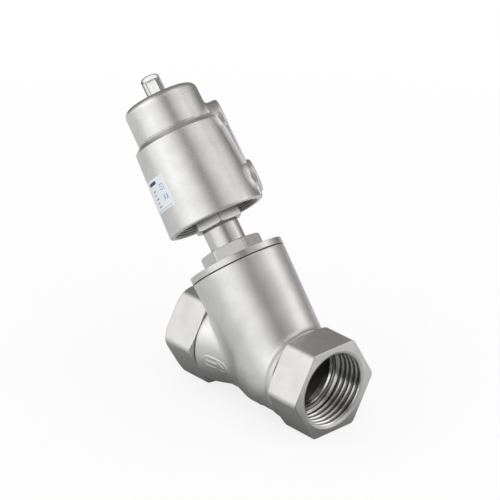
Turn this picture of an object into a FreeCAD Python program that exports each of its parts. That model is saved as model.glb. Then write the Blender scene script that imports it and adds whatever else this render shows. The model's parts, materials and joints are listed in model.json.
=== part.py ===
# Angle-seat piston valve with G 1 1/2 threaded ports and a spring-closed pneumatic actuator.
#
# Millimetres. The origin is the centre of the inlet port's face, +X runs along the pipe to the outlet
# and +Z is up. The actuator's axis crosses the pipe's axis and leans back over the inlet. Pieces on
# that axis are drawn upright in their own frame, whose Z is the height along the axis above the
# crossing, and are then set on it. Radii are wall radii: a threaded wall is drawn at its minor radius.

import FreeCAD, Part

import math
import os
from types import SimpleNamespace

import Sketcher

SIZES = {
    # Pipe line
    "face_to_face": 116.0,
    "outlet_to_crossing": 40.0,
    "lean_angle": 50.0,
    "port_hex_flats": 54.6,
    "port_hex_length": 24.4,
    "port_hex_end_chamfer": 2.2,
    "port_hex_back_chamfer": 1.6,
    "port_hex_chamfer_drop": 3.4,
    "port_thread_radius": 22.42,
    "port_mouth_radius": 24.05,
    "port_mouth_depth": 1.0,
    "port_thread_length": 21.0,
    "passage_radius": 20.5,
    # Cast skin of the body, places measured from the inlet face
    "collar_radius": 28.0,
    "collar_length": 3.0,
    "collar_slope_length": 15.0,
    "waist_radius": 24.4,
    "waist_length": 10.0,
    "belly_radius": 27.0,
    "belly_slope_length": 11.0,
    # Neck
    "neck_height": 65.9,
    "neck_top_radius": 29.4,
    "neck_foot_radius": 27.6,
    "neck_foot_height": -4.0,
    "neck_end_radius": 25.4,
    "neck_end_height": -12.0,
    "bowl_radius": 23.5,
    "neck_thread_radius": 25.0,
    "neck_thread_depth": 12.4,
    # Seat
    "seat_wall_height": 3.0,
    "seat_wall_thickness": 4.0,
    "seat_radius": 17.0,
    "seat_lip_width": 2.5,
    "seat_lip_height": 1.0,
    "seat_wall_reach_low": 40.0,
    "seat_wall_reach_high": 27.5,
    # Bonnet
    "thread_clearance": 0.06,
    "gasket_thickness": 0.6,
    "gasket_inset": 1.1,
    "flange_radius": 29.5,
    "flange_thickness": 3.8,
    "bonnet_shank_depth": 11.9,
    "bonnet_hex_flats": 33.0,
    "bonnet_hex_height": 8.4,
    "bonnet_hex_angle": 50.0,
    "hex_corner_chamfer": 0.9,
    "tube_radius": 11.2,
    "tube_height": 12.2,
    "spigot_radius": 9.0,
    "spigot_height": 16.6,
    "packing_nut_radius": 9.4,
    "packing_nut_height": 6.0,
    "packing_nut_recess": 2.0,
    "packing_radius": 8.2,
    "packing_depth": 24.0,
    "stem_web_radius": 5.6,
    "stem_web_height": 6.0,
    "bush_radius": 6.6,
    "ring_groove_depth": 0.8,
    # Stem packing
    "packing_clearance": 0.03,
    "gland_clearance": 0.3,
    "packing_spring_wire": 1.3,
    "packing_spring_radius": 6.7,
    "packing_spring_height": 9.2,
    "packing_spring_turns": 5.0,
    "support_ring_height": 2.2,
    "vee_rise": 1.4,
    "vee_thickness": 1.8,
    "vee_gap": 0.1,
    "vee_base_height": 1.2,
    # Stem guide and seal above the packing
    "guide_bush_height": 9.0,
    "stem_seal_section": 0.76,
    "seal_cap_height": 2.6,
    "running_clearance": 0.03,
    # Swivel between bonnet and actuator
    "swivel_ring_height": 1.1,
    "swivel_ring_radius": 10.4,
    "swivel_clearance": 0.05,
    "retaining_ring_radius": 11.0,
    "retaining_ring_thickness": 1.2,
    "retaining_ring_play": 0.05,
    "spigot_seal_section": 0.9,
    "spigot_seal_height": 5.0,
    # Actuator's lower cover
    "cover_hex_flats": 27.5,
    "cover_hex_height": 9.0,
    "cover_hex_angle": 30.0,
    "cover_thread_height": 4.0,
    "cover_spigot_height": 3.6,
    "cover_pocket_radius": 12.6,
    "cover_ring_seat": 12.0,
    "cover_seal_section": 0.9,
    "cover_seal_drop": 1.7,
    # Actuator housing, heights above the crossing
    "rim_height": 96.4,
    "rim_radius": 30.0,
    "rim_chamfer": 0.9,
    "rim_mouth_radius": 27.1,
    "housing_thread_radius": 26.3,
    "shoulder_height": 150.5,
    "shoulder_radius": 27.3,
    "shoulder_chamfer_height": 3.4,
    "shoulder_edge": 0.6,
    "cap_groove_height": 0.6,
    "cap_groove_depth": 0.5,
    "cap_foot_radius": 23.4,
    "cap_top_radius": 23.1,
    "cap_top_height": 176.9,
    "cap_crown": 0.6,
    "cap_round": 4.5,
    "cylinder_radius": 25.0,
    "cylinder_top_height": 141.0,
    "spring_chamber_radius": 19.9,
    "cap_roof_thickness": 5.5,
    # Pilot air ports on the housing
    "port_turn_angle": 56.0,
    "rib_face_radius": 30.0,
    "rib_width": 14.0,
    "rib_bottom_height": 97.6,
    "rib_top_height": 152.0,
    "air_boss_radius": 10.5,
    "air_boss_edge": 1.6,
    "lower_air_height": 110.4,
    "lower_air_face_radius": 32.8,
    "upper_air_height": 151.0,
    "upper_air_face_radius": 30.4,
    "air_thread_radius": 4.3,
    "air_mouth_radius": 4.95,
    "air_thread_depth": 5.8,
    "air_passage_radius": 1.3,
    "lower_air_passage_rise": 0.4,
    # Piston
    "piston_gap": 1.9,
    "piston_height": 11.0,
    "piston_relief": 2.5,
    "piston_relief_height": 1.8,
    "piston_clearance": 0.3,
    "seal_groove_rise": 3.1,
    "seal_groove_height": 3.0,
    "seal_groove_depth": 3.0,
    "guide_groove_rise": 7.7,
    "guide_groove_height": 2.2,
    "guide_groove_depth": 1.4,
    "seal_clearance": 0.02,
    "spring_seat_radius": 20.3,
    "spring_seat_depth": 4.3,
    "piston_hub_radius": 9.0,
    "piston_washer_radius": 8.0,
    "piston_washer_thickness": 1.6,
    "stem_seal_pocket_radius": 6.1,
    "stem_seal_pocket_depth": 1.8,
    "stem_joint_seal_section": 0.88,
    # Return springs
    "outer_spring_wire": 3.2,
    "outer_spring_radius": 16.6,
    "outer_spring_turns": 7.5,
    "inner_spring_wire": 2.0,
    "inner_spring_radius": 11.5,
    "inner_spring_turns": 10.0,
    "spring_end_gap": 0.15,
    # Stem and its nuts
    "stroke": 13.0,
    "stem_radius": 5.0,
    "stem_thread_radius": 4.0,
    "stem_thread_clearance": 0.03,
    "nut_flats": 13.0,
    "nut_height": 6.5,
    "stem_end_above_nut": 1.4,
    # Indicator
    "indicator_pin_radius": 1.6,
    "indicator_pin_length": 7.0,
    "indicator_radius": 3.2,
    "indicator_end_gap": 0.4,
    "dome_foot_radius": 4.9,
    "dome_foot_depth": 4.6,
    "dome_radius": 5.85,
    "dome_height": 13.5,
    "dome_round": 2.4,
    "dome_bore_radius": 3.75,
    "dome_bore_end_gap": 1.7,
    "dome_slot_width": 1.1,
    "dome_slot_depth": 1.3,
    "dome_seal_section": 0.55,
    # Plug
    "seat_contact_gap": 0.03,
    "disc_thickness": 4.0,
    "disc_radius": 20.2,
    "plug_rim_radius": 21.7,
    "plug_rim_lift": 1.2,
    "plug_plate_height": 3.2,
    "plug_hub_radius": 8.0,
    "plug_hub_height": 7.0,
    "retainer_radius": 15.6,
    "retainer_thickness": 2.2,
    # Label
    "label_bottom_height": 110.0,
    "label_height": 20.0,
    "label_angle": 92.0,
    "label_turn_angle": 240.0,
    "label_thickness": 0.15,
    "label_glue": 0.02,
}


class Size:
    """A number with the formula over the sheet's cells that gives it."""

    def __init__(self, value, formula):
        self.value = value
        self.formula = formula

    def __add__(self, other):
        other = as_size(other)
        return Size(self.value + other.value, f"({self.formula} + {other.formula})")

    def __sub__(self, other):
        other = as_size(other)
        return Size(self.value - other.value, f"({self.formula} - {other.formula})")

    def __mul__(self, other):
        other = as_size(other)
        return Size(self.value * other.value, f"({self.formula} * {other.formula})")

    def __truediv__(self, other):
        other = as_size(other)
        return Size(self.value / other.value, f"({self.formula} / {other.formula})")

    def __neg__(self):
        return Size(-self.value, f"(0 - {self.formula})")


def as_size(number):
    """A plain number as a Size; a Size as it is."""
    if isinstance(number, Size):
        return number
    return Size(float(number), f"{number}")


ROOT_THREE = Size(math.sqrt(3.0), "sqrt(3)")
ZERO = Size(0.0, "0")

doc = FreeCAD.newDocument("angle_seat_valve")


def make_sheet(table):
    """The document's sheet of driving sizes, and each of them by name."""
    sheet = doc.addObject("Spreadsheet::Sheet", "Sizes")
    for row, (name, value) in enumerate(table.items(), start=1):
        sheet.set(f"A{row}", name)
        sheet.set(f"B{row}", str(value))
        sheet.setAlias(f"B{row}", name)
    doc.recompute()
    return SimpleNamespace(**{name: Size(float(sheet.get(name)), f"Sizes.{name}") for name in table})


z = make_sheet(SIZES)

# Places worked out from the sizes, all heights along the actuator's axis above the crossing.
CROSSING = z.face_to_face - z.outlet_to_crossing
FLANGE_BOTTOM = z.neck_height + z.gasket_thickness
FLANGE_TOP = FLANGE_BOTTOM + z.flange_thickness
BONNET_HEX_TOP = FLANGE_TOP + z.bonnet_hex_height
TUBE_TOP = BONNET_HEX_TOP + z.tube_height
SPIGOT_TOP = TUBE_TOP + z.spigot_height
BONNET_BOTTOM = z.neck_height - z.bonnet_shank_depth
PACKING_BOTTOM = BONNET_BOTTOM + z.packing_nut_recess + z.packing_nut_height
PACKING_TOP = PACKING_BOTTOM + z.packing_depth
BUSH_BOTTOM = PACKING_TOP + z.stem_web_height
BUSH_TOP = BUSH_BOTTOM + z.guide_bush_height
STEM_SEAL_TOP = BUSH_TOP + z.stem_seal_section * 2 + 0.6
COVER_BOTTOM = TUBE_TOP + z.swivel_ring_height
COVER_DISC_BOTTOM = COVER_BOTTOM + z.cover_hex_height
COVER_THREAD_TOP = COVER_DISC_BOTTOM + z.cover_thread_height
COVER_TOP = COVER_THREAD_TOP + z.cover_spigot_height
RING_SEAT = COVER_BOTTOM + z.cover_ring_seat
SEAT_TOP = z.seat_wall_height + z.seat_wall_thickness + z.seat_lip_height
DISC_BOTTOM = SEAT_TOP + z.seat_contact_gap
DISC_TOP = DISC_BOTTOM + z.disc_thickness
PLUG_PLATE_TOP = DISC_TOP + z.plug_plate_height
PLUG_TOP = PLUG_PLATE_TOP + z.plug_hub_height
RETAINER_BOTTOM = DISC_BOTTOM - z.retainer_thickness
DISC_NUT_BOTTOM = RETAINER_BOTTOM - z.nut_height
PISTON_BOTTOM = COVER_TOP + z.piston_gap
PISTON_TOP = PISTON_BOTTOM + z.piston_height
PISTON_RADIUS = z.cylinder_radius - z.piston_clearance
SPRING_SEAT = PISTON_TOP - z.spring_seat_depth
WASHER_TOP = PISTON_TOP + z.piston_washer_thickness
PISTON_NUT_TOP = WASHER_TOP + z.nut_height
STEM_TOP = PISTON_NUT_TOP + z.stem_end_above_nut
CROWN_HEIGHT = z.cap_top_height + z.cap_crown
SPRING_CHAMBER_TOP = CROWN_HEIGHT - z.cap_roof_thickness
DOME_TOP = CROWN_HEIGHT + z.dome_height
DOME_BORE_END = DOME_TOP - z.dome_bore_end_gap - z.dome_slot_depth
INDICATOR_TOP = DOME_BORE_END - z.stroke - z.indicator_end_gap
STEM_THREAD_HOLE = z.stem_thread_radius + z.stem_thread_clearance


def axis_placement(turn=0.0, height=0.0):
    """Placement on the actuator's axis, turned about it and lifted along it."""
    lean = FreeCAD.Rotation(FreeCAD.Vector(0, 1, 0), z.lean_angle.value - 90.0)
    spin = FreeCAD.Rotation(FreeCAD.Vector(0, 0, 1), turn)
    on_axis = FreeCAD.Placement(FreeCAD.Vector(CROSSING.value, 0, 0), lean)
    return on_axis * FreeCAD.Placement(FreeCAD.Vector(0, 0, height), spin)


def pipe_placement():
    """Placement that turns a piece's own Z onto the pipe, from the inlet face."""
    return FreeCAD.Placement(FreeCAD.Vector(0, 0, 0), FreeCAD.Rotation(FreeCAD.Vector(0, 1, 0), 90.0))


ON_AXIS = axis_placement()
ON_HEAD = axis_placement(z.port_turn_angle.value)
ON_PIPE = pipe_placement()


def origin_plane(body, role):
    """One of a body's own origin planes, by its role."""
    return next(item for item in body.Origin.OriginFeatures if item.Role == role)


def new_sketch(body, name, role, lift=ZERO):
    """An empty sketch on an origin plane, lifted along the plane's normal."""
    sketch = body.newObject("Sketcher::SketchObject", name)
    sketch.AttachmentSupport = (origin_plane(body, role), [""])
    sketch.MapMode = "FlatFace"
    sketch.AttachmentOffset = FreeCAD.Placement(FreeCAD.Vector(0, 0, lift.value), FreeCAD.Rotation())
    sketch.setExpression(".AttachmentOffset.Base.z", lift.formula)
    return sketch


def pin_point(sketch, geometry, point, across, up):
    """Ties one point of a sketch to the two sizes that place it."""
    for kind, size, axis in (("DistanceX", across, -2), ("DistanceY", up, -1)):
        if size.formula == "0":
            sketch.addConstraint(Sketcher.Constraint("PointOnObject", geometry, point, axis))
            continue
        index = sketch.addConstraint(Sketcher.Constraint(kind, -1, 1, geometry, point, size.value))
        sketch.setExpression(f"Constraints[{index}]", size.formula)


def draw_outline(sketch, corners):
    """A closed outline of straight edges through corners, each tied to its sizes."""
    corners = [(as_size(across), as_size(up)) for across, up in corners]
    points = [FreeCAD.Vector(across.value, up.value, 0) for across, up in corners]
    first = sketch.GeometryCount
    count = len(points)
    for index in range(count):
        sketch.addGeometry(Part.LineSegment(points[index], points[(index + 1) % count]), False)
    for index in range(count):
        following = first + (index + 1) % count
        sketch.addConstraint(Sketcher.Constraint("Coincident", first + index, 2, following, 1))
    for index, (across, up) in enumerate(corners):
        pin_point(sketch, first + index, 1, across, up)


def draw_circle(sketch, across, up, radius):
    """A circle with its centre and radius tied to sizes."""
    across, up, radius = as_size(across), as_size(up), as_size(radius)
    centre = FreeCAD.Vector(across.value, up.value, 0)
    index = sketch.addGeometry(Part.Circle(centre, FreeCAD.Vector(0, 0, 1), radius.value), False)
    pin_point(sketch, index, 3, across, up)
    constraint = sketch.addConstraint(Sketcher.Constraint("Radius", index, radius.value))
    sketch.setExpression(f"Constraints[{constraint}]", radius.formula)


def turned(label, corners, placement, angle=None):
    """A body turned about its own Z from an outline of (radius, height) corners."""
    body = doc.addObject("PartDesign::Body", label)
    body.Label = label
    body.Placement = placement
    sketch = new_sketch(body, f"{label}_outline", "XZ_Plane")
    draw_outline(sketch, corners)
    turn = body.newObject("PartDesign::Revolution", f"{label}_turn")
    turn.Profile = sketch
    turn.ReferenceAxis = (sketch, ["V_Axis"])
    turn.Angle = 360.0
    if angle is not None:
        turn.Midplane = True
        turn.setExpression("Angle", angle.formula)
    return body


def groove(body, name, corners):
    """Turns an outline of (radius, height) corners out of a body."""
    sketch = new_sketch(body, f"{name}_outline", "XZ_Plane")
    draw_outline(sketch, corners)
    cut = body.newObject("PartDesign::Groove", name)
    cut.Profile = sketch
    cut.ReferenceAxis = (sketch, ["V_Axis"])
    cut.Angle = 360.0
    return cut


def ring(label, inner, outer, bottom, top, placement):
    """A plain ring of rectangular section."""
    return turned(label, [(inner, bottom), (outer, bottom), (outer, top), (inner, top)], placement)


def pad(body, name, sketch, length):
    """Adds a sketch's shape along its normal."""
    feature = body.newObject("PartDesign::Pad", name)
    feature.Profile = sketch
    feature.setExpression("Length", as_size(length).formula)
    return feature


def pocket(body, name, sketch, length, along_normal):
    """Cuts a sketch's shape, along its normal or against it."""
    feature = body.newObject("PartDesign::Pocket", name)
    feature.Profile = sketch
    feature.Reversed = along_normal
    feature.setExpression("Length", as_size(length).formula)
    return feature


def mill_hexagon(body, name, flats, angle, bottom, height):
    """Mills six flats on a turned length of a body, whose first corner stands at an angle."""
    sketch = new_sketch(body, f"{name}_outline", "XY_Plane", bottom)
    corner_radius = flats / ROOT_THREE
    corners = []
    for step in range(6):
        turn = angle + 60 * step
        radians = math.radians(turn.value)
        cosine = Size(math.cos(radians), f"cos({turn.formula} * 1 deg)")
        sine = Size(math.sin(radians), f"sin({turn.formula} * 1 deg)")
        corners.append((corner_radius * cosine, corner_radius * sine))
    draw_outline(sketch, corners)
    draw_circle(sketch, ZERO, ZERO, corner_radius * 2)
    return pocket(body, name, sketch, height, True)


def torus(label, centre_radius, section, height, placement):
    """An O-ring, given by its centre circle, its section's radius and its height."""
    shape = doc.addObject("Part::Torus", label)
    shape.Label = label
    shape.setExpression("Radius1", centre_radius.formula)
    shape.setExpression("Radius2", section.formula)
    shape.Placement = placement * FreeCAD.Placement(FreeCAD.Vector(0, 0, height.value), FreeCAD.Rotation())
    return shape


def coil_spring(label, wire, radius, turns, bottom, top, placement, left_handed=False):
    """A compression spring with ends ground flat, standing between two heights."""
    length = top - bottom
    helix = doc.addObject("Part::Helix", f"{label}_path")
    helix.LocalCoord = 1 if left_handed else 0
    helix.setExpression("Radius", radius.formula)
    helix.setExpression("Height", (length - wire / 2).formula)
    helix.setExpression("Pitch", ((length - wire / 2) / turns).formula)
    section = doc.addObject("Part::Circle", f"{label}_wire")
    section.setExpression("Radius", (wire / 2).formula)
    section.setExpression(".Placement.Base.x", radius.formula)
    section.Placement = FreeCAD.Placement(
        FreeCAD.Vector(radius.value, 0, 0), FreeCAD.Rotation(FreeCAD.Vector(1, 0, 0), 90)
    )
    coil = doc.addObject("Part::Sweep", f"{label}_coil")
    coil.Sections = [section]
    coil.Spine = (helix, [])
    coil.Solid = True
    coil.Frenet = True
    ground = doc.addObject("Part::Cylinder", f"{label}_ground")
    ground.setExpression("Radius", (radius + wire).formula)
    ground.setExpression("Height", length.formula)
    ground.setExpression(".Placement.Base.z", (-(wire / 4)).formula)
    spring = doc.addObject("Part::Common", label)
    spring.Base = coil
    spring.Tool = ground
    spring.Label = label
    lift = FreeCAD.Placement(FreeCAD.Vector(0, 0, (bottom + wire / 4).value), FreeCAD.Rotation())
    spring.Placement = placement * lift
    return spring


def fused(label, pieces):
    """Several shapes as one solid."""
    whole = doc.addObject("Part::MultiFuse", label)
    whole.Shapes = pieces
    whole.Label = label
    whole.Refine = True
    return whole


def round_edges(body, name, radius, wanted):
    """Rounds the circular edges of a body that lie at given (radius, height) places."""
    doc.recompute()
    base = body.Tip
    names = []
    for index, edge in enumerate(base.Shape.Edges, start=1):
        curve = edge.Curve
        if not isinstance(curve, Part.Circle):
            continue
        for edge_radius, height in wanted:
            same_radius = abs(curve.Radius - edge_radius.value) < 0.001
            if same_radius and abs(curve.Center.z - height.value) < 0.001:
                names.append(f"Edge{index}")
    fillet = body.newObject("PartDesign::Fillet", name)
    fillet.Base = (base, names)
    fillet.setExpression("Radius", as_size(radius).formula)
    return fillet


# Valve body: one casting with two threaded ports, a leaning neck and the wall that carries the seat.


def make_port_hexagon(name, start, outward):
    """A port's hexagon with its corners turned off at both ends; outward is 1 at the outlet."""
    corner = z.port_hex_flats / ROOT_THREE
    turned_off = corner - z.port_hex_chamfer_drop
    end = start + z.port_hex_length
    low, high = z.port_hex_back_chamfer, z.port_hex_end_chamfer
    if not outward:
        low, high = high, low
    blank = turned(name, [
        (ZERO, start), (turned_off, start), (corner, start + low), (corner, end - high),
        (turned_off, end), (ZERO, end),
    ], ON_PIPE)
    mill_hexagon(blank, f"{name}_flats", z.port_hex_flats, as_size(30), start, z.port_hex_length)
    return blank


def make_pipe_skin():
    """The cast pipe between the hexagons: collars, waist and the belly under the seat."""
    inlet_collar = z.port_hex_length + z.collar_length
    waist_start = inlet_collar + z.collar_slope_length
    waist_end = waist_start + z.waist_length
    belly_start = waist_end + z.belly_slope_length
    outlet_hex = z.face_to_face - z.port_hex_length
    belly_end = outlet_hex - z.collar_length * 2
    return turned("pipe_skin", [
        (ZERO, z.port_hex_length / 2), (z.collar_radius, z.port_hex_length / 2),
        (z.collar_radius, inlet_collar), (z.waist_radius, waist_start), (z.waist_radius, waist_end),
        (z.belly_radius, belly_start), (z.belly_radius, belly_end),
        (z.collar_radius, outlet_hex - z.collar_length), (z.collar_radius, outlet_hex + 2),
        (ZERO, outlet_hex + 2),
    ], ON_PIPE)


def make_neck_skin():
    """The tapered neck that carries the bonnet."""
    return turned("neck_skin", [
        (ZERO, z.neck_end_height), (z.neck_end_radius, z.neck_end_height),
        (z.neck_foot_radius, z.neck_foot_height), (z.neck_top_radius, z.neck_height),
        (ZERO, z.neck_height),
    ], ON_AXIS)


def make_pipe_bore():
    """The passage with a threaded wall and a turned mouth at each port, parted by the seat's wall."""
    mouth = z.port_mouth_depth
    far = z.face_to_face
    bore = turned("pipe_bore", [
        (ZERO, ZERO), (z.port_mouth_radius, ZERO), (z.port_thread_radius, mouth),
        (z.port_thread_radius, z.port_thread_length), (z.passage_radius, z.port_thread_length),
        (z.passage_radius, far - z.port_thread_length), (z.port_thread_radius, far - z.port_thread_length),
        (z.port_thread_radius, far - mouth), (z.port_mouth_radius, far), (ZERO, far),
    ], ON_PIPE)
    wall = doc.addObject("Part::Box", "seat_wall")
    wall.setExpression("Length", (z.seat_wall_reach_low + z.seat_wall_reach_high).formula)
    wall.setExpression("Width", (z.belly_radius * 2).formula)
    wall.setExpression("Height", z.seat_wall_thickness.formula)
    corner = FreeCAD.Vector(-z.seat_wall_reach_low.value, -z.belly_radius.value, z.seat_wall_height.value)
    wall.Placement = ON_AXIS * FreeCAD.Placement(corner, FreeCAD.Rotation())
    parted = doc.addObject("Part::Cut", "parted_bore")
    parted.Base = bore
    parted.Tool = wall
    return parted


def make_neck_bore():
    """The seat's hole with its raised lip, the bowl above it and the neck's threaded mouth."""
    lip_foot = z.seat_wall_height + z.seat_wall_thickness
    lip_outer = z.seat_radius + z.seat_lip_width
    thread_bottom = z.neck_height - z.neck_thread_depth
    return turned("neck_bore", [
        (ZERO, z.seat_wall_height), (z.seat_radius, z.seat_wall_height), (z.seat_radius, SEAT_TOP),
        (lip_outer, SEAT_TOP), (lip_outer, lip_foot), (z.bowl_radius, lip_foot),
        (z.bowl_radius, thread_bottom), (z.neck_thread_radius, thread_bottom),
        (z.neck_thread_radius, z.neck_height), (ZERO, z.neck_height),
    ], ON_AXIS)


def make_valve_body():
    """The finished casting."""
    inlet = make_port_hexagon("inlet_hexagon", ZERO, False)
    outlet = make_port_hexagon("outlet_hexagon", z.face_to_face - z.port_hex_length, True)
    skin = fused("body_skin", [make_pipe_skin(), make_neck_skin(), inlet, outlet])
    hollow = fused("body_hollow", [make_pipe_bore(), make_neck_bore()])
    body = doc.addObject("Part::Cut", "valve_body")
    body.Base = skin
    body.Tool = hollow
    body.Refine = True
    body.Label = "valve_body"
    return body


# Bonnet with the stem's packing and guide.


def make_body_gasket():
    """Flat gasket between neck and flange."""
    inner = z.neck_thread_radius + z.thread_clearance
    outer = z.neck_top_radius - z.gasket_inset
    return ring("body_gasket", inner, outer, z.neck_height, FLANGE_BOTTOM, ON_AXIS)


def make_bonnet():
    """Threaded shank, flange, spanner hexagon, tube and the spigot that the actuator turns on."""
    shank = z.neck_thread_radius - z.thread_clearance
    corner = z.bonnet_hex_flats / ROOT_THREE
    turned_off = corner - z.hex_corner_chamfer * 2
    groove_bottom = RING_SEAT + z.retaining_ring_play
    groove_top = groove_bottom + z.retaining_ring_thickness + z.retaining_ring_play
    groove_floor = z.spigot_radius - z.ring_groove_depth
    body = turned("bonnet", [
        (z.packing_nut_radius, BONNET_BOTTOM), (shank, BONNET_BOTTOM), (shank, FLANGE_BOTTOM),
        (z.flange_radius, FLANGE_BOTTOM), (z.flange_radius, FLANGE_TOP), (corner, FLANGE_TOP),
        (corner, BONNET_HEX_TOP - z.hex_corner_chamfer), (turned_off, BONNET_HEX_TOP),
        (z.tube_radius, BONNET_HEX_TOP), (z.tube_radius, TUBE_TOP), (z.spigot_radius, TUBE_TOP),
        (z.spigot_radius, groove_bottom), (groove_floor, groove_bottom), (groove_floor, groove_top),
        (z.spigot_radius, groove_top), (z.spigot_radius, SPIGOT_TOP), (z.bush_radius, SPIGOT_TOP),
        (z.bush_radius, BUSH_BOTTOM), (z.stem_web_radius, BUSH_BOTTOM), (z.stem_web_radius, PACKING_TOP),
        (z.packing_radius, PACKING_TOP), (z.packing_radius, PACKING_BOTTOM),
        (z.packing_nut_radius, PACKING_BOTTOM),
    ], ON_AXIS)
    mill_hexagon(body, "bonnet_flats", z.bonnet_hex_flats, z.bonnet_hex_angle, FLANGE_TOP, z.bonnet_hex_height)
    return body


def make_packing():
    """The parts that seal and guide the stem inside the bonnet, from the bottom up."""
    inner = z.stem_radius + z.packing_clearance
    loose = z.stem_radius + z.gland_clearance
    outer = z.packing_radius - z.packing_clearance
    middle = (inner + outer) / 2
    nut_bottom = PACKING_BOTTOM - z.packing_nut_height
    nut = ring("packing_nut", loose, z.packing_nut_radius - z.thread_clearance, nut_bottom,
               PACKING_BOTTOM, ON_AXIS)
    holes = new_sketch(nut, "packing_nut_spanner_holes", "XY_Plane", nut_bottom)
    hole_circle = (z.stem_radius + z.packing_nut_radius) / 2
    draw_circle(holes, hole_circle, ZERO, 1.1)
    draw_circle(holes, -hole_circle, ZERO, 1.1)
    pocket(nut, "packing_nut_holes", holes, z.packing_nut_height / 2, True)
    spring_bottom = PACKING_BOTTOM + z.vee_gap
    spring_top = spring_bottom + z.packing_spring_height
    spring = coil_spring("packing_spring", z.packing_spring_wire, z.packing_spring_radius,
                         z.packing_spring_turns, spring_bottom, spring_top, ON_AXIS)
    support_bottom = spring_top + z.vee_gap
    support_top = support_bottom + z.support_ring_height
    support = ring("packing_support_ring", loose, outer, support_bottom, support_top, ON_AXIS)
    low = support_top + z.vee_gap
    shoulder = low + z.vee_base_height
    pieces = [nut, spring, support]
    pieces.append(turned("packing_lower_ring", [
        (inner, low), (outer, low), (outer, shoulder), (middle, shoulder + z.vee_rise), (inner, shoulder),
    ], ON_AXIS))
    for number in (1, 2, 3):
        low = shoulder + z.vee_gap
        shoulder = low + z.vee_thickness
        pieces.append(turned(f"packing_vee_ring_{number}", [
            (inner, low), (middle, low + z.vee_rise), (outer, low), (outer, shoulder),
            (middle, shoulder + z.vee_rise), (inner, shoulder),
        ], ON_AXIS))
    low = shoulder + z.vee_gap
    pieces.append(turned("packing_upper_ring", [
        (inner, low), (middle, low + z.vee_rise), (outer, low), (outer, PACKING_TOP), (inner, PACKING_TOP),
    ], ON_AXIS))
    return pieces


def make_stem_guide():
    """Guide bush, O-ring and pressed cap in the bonnet's top, around the stem."""
    inner = z.stem_radius + z.running_clearance
    outer = z.bush_radius - z.running_clearance
    bush = ring("stem_guide_bush", inner, outer, BUSH_BOTTOM, BUSH_TOP, ON_AXIS)
    seal_height = (BUSH_TOP + STEM_SEAL_TOP) / 2
    seal = torus("stem_o_ring", (z.stem_radius + z.bush_radius) / 2, z.stem_seal_section, seal_height, ON_AXIS)
    cap = ring("stem_seal_cap", z.stem_radius + z.gland_clearance, outer, STEM_SEAL_TOP,
               STEM_SEAL_TOP + z.seal_cap_height, ON_AXIS)
    return [bush, seal, cap]


# Actuator head: it turns as a whole about the bonnet's spigot.


def make_swivel_parts():
    """Bearing ring under the cover, seal in it, and the split ring that holds it down."""
    hole = z.spigot_radius + z.swivel_clearance
    bearing = ring("swivel_bearing_ring", hole, z.swivel_ring_radius, TUBE_TOP, COVER_BOTTOM, ON_AXIS)
    seal = torus("spigot_o_ring", z.spigot_radius + z.swivel_clearance + z.spigot_seal_section,
                 z.spigot_seal_section, COVER_BOTTOM + z.spigot_seal_height, ON_HEAD)
    floor = z.spigot_radius - z.ring_groove_depth + z.retaining_ring_play
    bottom = RING_SEAT + z.retaining_ring_play
    retaining = ring("retaining_ring", floor, z.retaining_ring_radius, bottom,
                     bottom + z.retaining_ring_thickness, ON_AXIS)
    gap = new_sketch(retaining, "retaining_ring_gap_outline", "XY_Plane", bottom)
    half_gap = as_size(1.6)
    reach = z.retaining_ring_radius + 1
    draw_outline(gap, [(z.spigot_radius / 2, -half_gap), (reach, -half_gap), (reach, half_gap),
                       (z.spigot_radius / 2, half_gap)])
    pocket(retaining, "retaining_ring_gap", gap, z.retaining_ring_thickness, True)
    return [bearing, seal, retaining]


def make_lower_cover():
    """Hexagon boss, threaded disc and sealed spigot that close the cylinder from below."""
    hole = z.spigot_radius + z.swivel_clearance
    corner = z.cover_hex_flats / ROOT_THREE
    turned_off = corner - z.hex_corner_chamfer * 2
    disc = z.housing_thread_radius - z.thread_clearance
    spigot = z.cylinder_radius - z.thread_clearance
    seal_floor = spigot - z.cover_seal_section * 2
    seal_top = COVER_TOP - z.cover_seal_drop + z.cover_seal_section
    seal_bottom = COVER_TOP - z.cover_seal_drop - z.cover_seal_section
    groove_floor = hole + z.spigot_seal_section * 2
    groove_low = COVER_BOTTOM + z.spigot_seal_height - z.spigot_seal_section
    groove_high = COVER_BOTTOM + z.spigot_seal_height + z.spigot_seal_section
    body = turned("lower_cover", [
        (hole, COVER_BOTTOM), (turned_off, COVER_BOTTOM), (corner, COVER_BOTTOM + z.hex_corner_chamfer),
        (corner, COVER_DISC_BOTTOM), (disc, COVER_DISC_BOTTOM), (disc, COVER_THREAD_TOP),
        (spigot, COVER_THREAD_TOP), (spigot, seal_bottom), (seal_floor, seal_bottom),
        (seal_floor, seal_top), (spigot, seal_top), (spigot, COVER_TOP), (z.cover_pocket_radius, COVER_TOP),
        (z.cover_pocket_radius, RING_SEAT), (hole, RING_SEAT), (hole, groove_high),
        (groove_floor, groove_high), (groove_floor, groove_low), (hole, groove_low),
    ], ON_HEAD)
    mill_hexagon(body, "cover_flats", z.cover_hex_flats, z.cover_hex_angle, COVER_BOTTOM, z.cover_hex_height)
    seal = torus("cover_o_ring", z.cylinder_radius - z.cover_seal_section - z.thread_clearance,
                 z.cover_seal_section, COVER_TOP - z.cover_seal_drop, ON_HEAD)
    return [body, seal]


def housing_radius_at(height):
    """The drafted outer radius of the housing at a height below the shoulder."""
    share = (height - z.rim_height) / (z.shoulder_height - z.rim_height)
    return z.rim_radius - (z.rim_radius - z.shoulder_radius) * share


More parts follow.
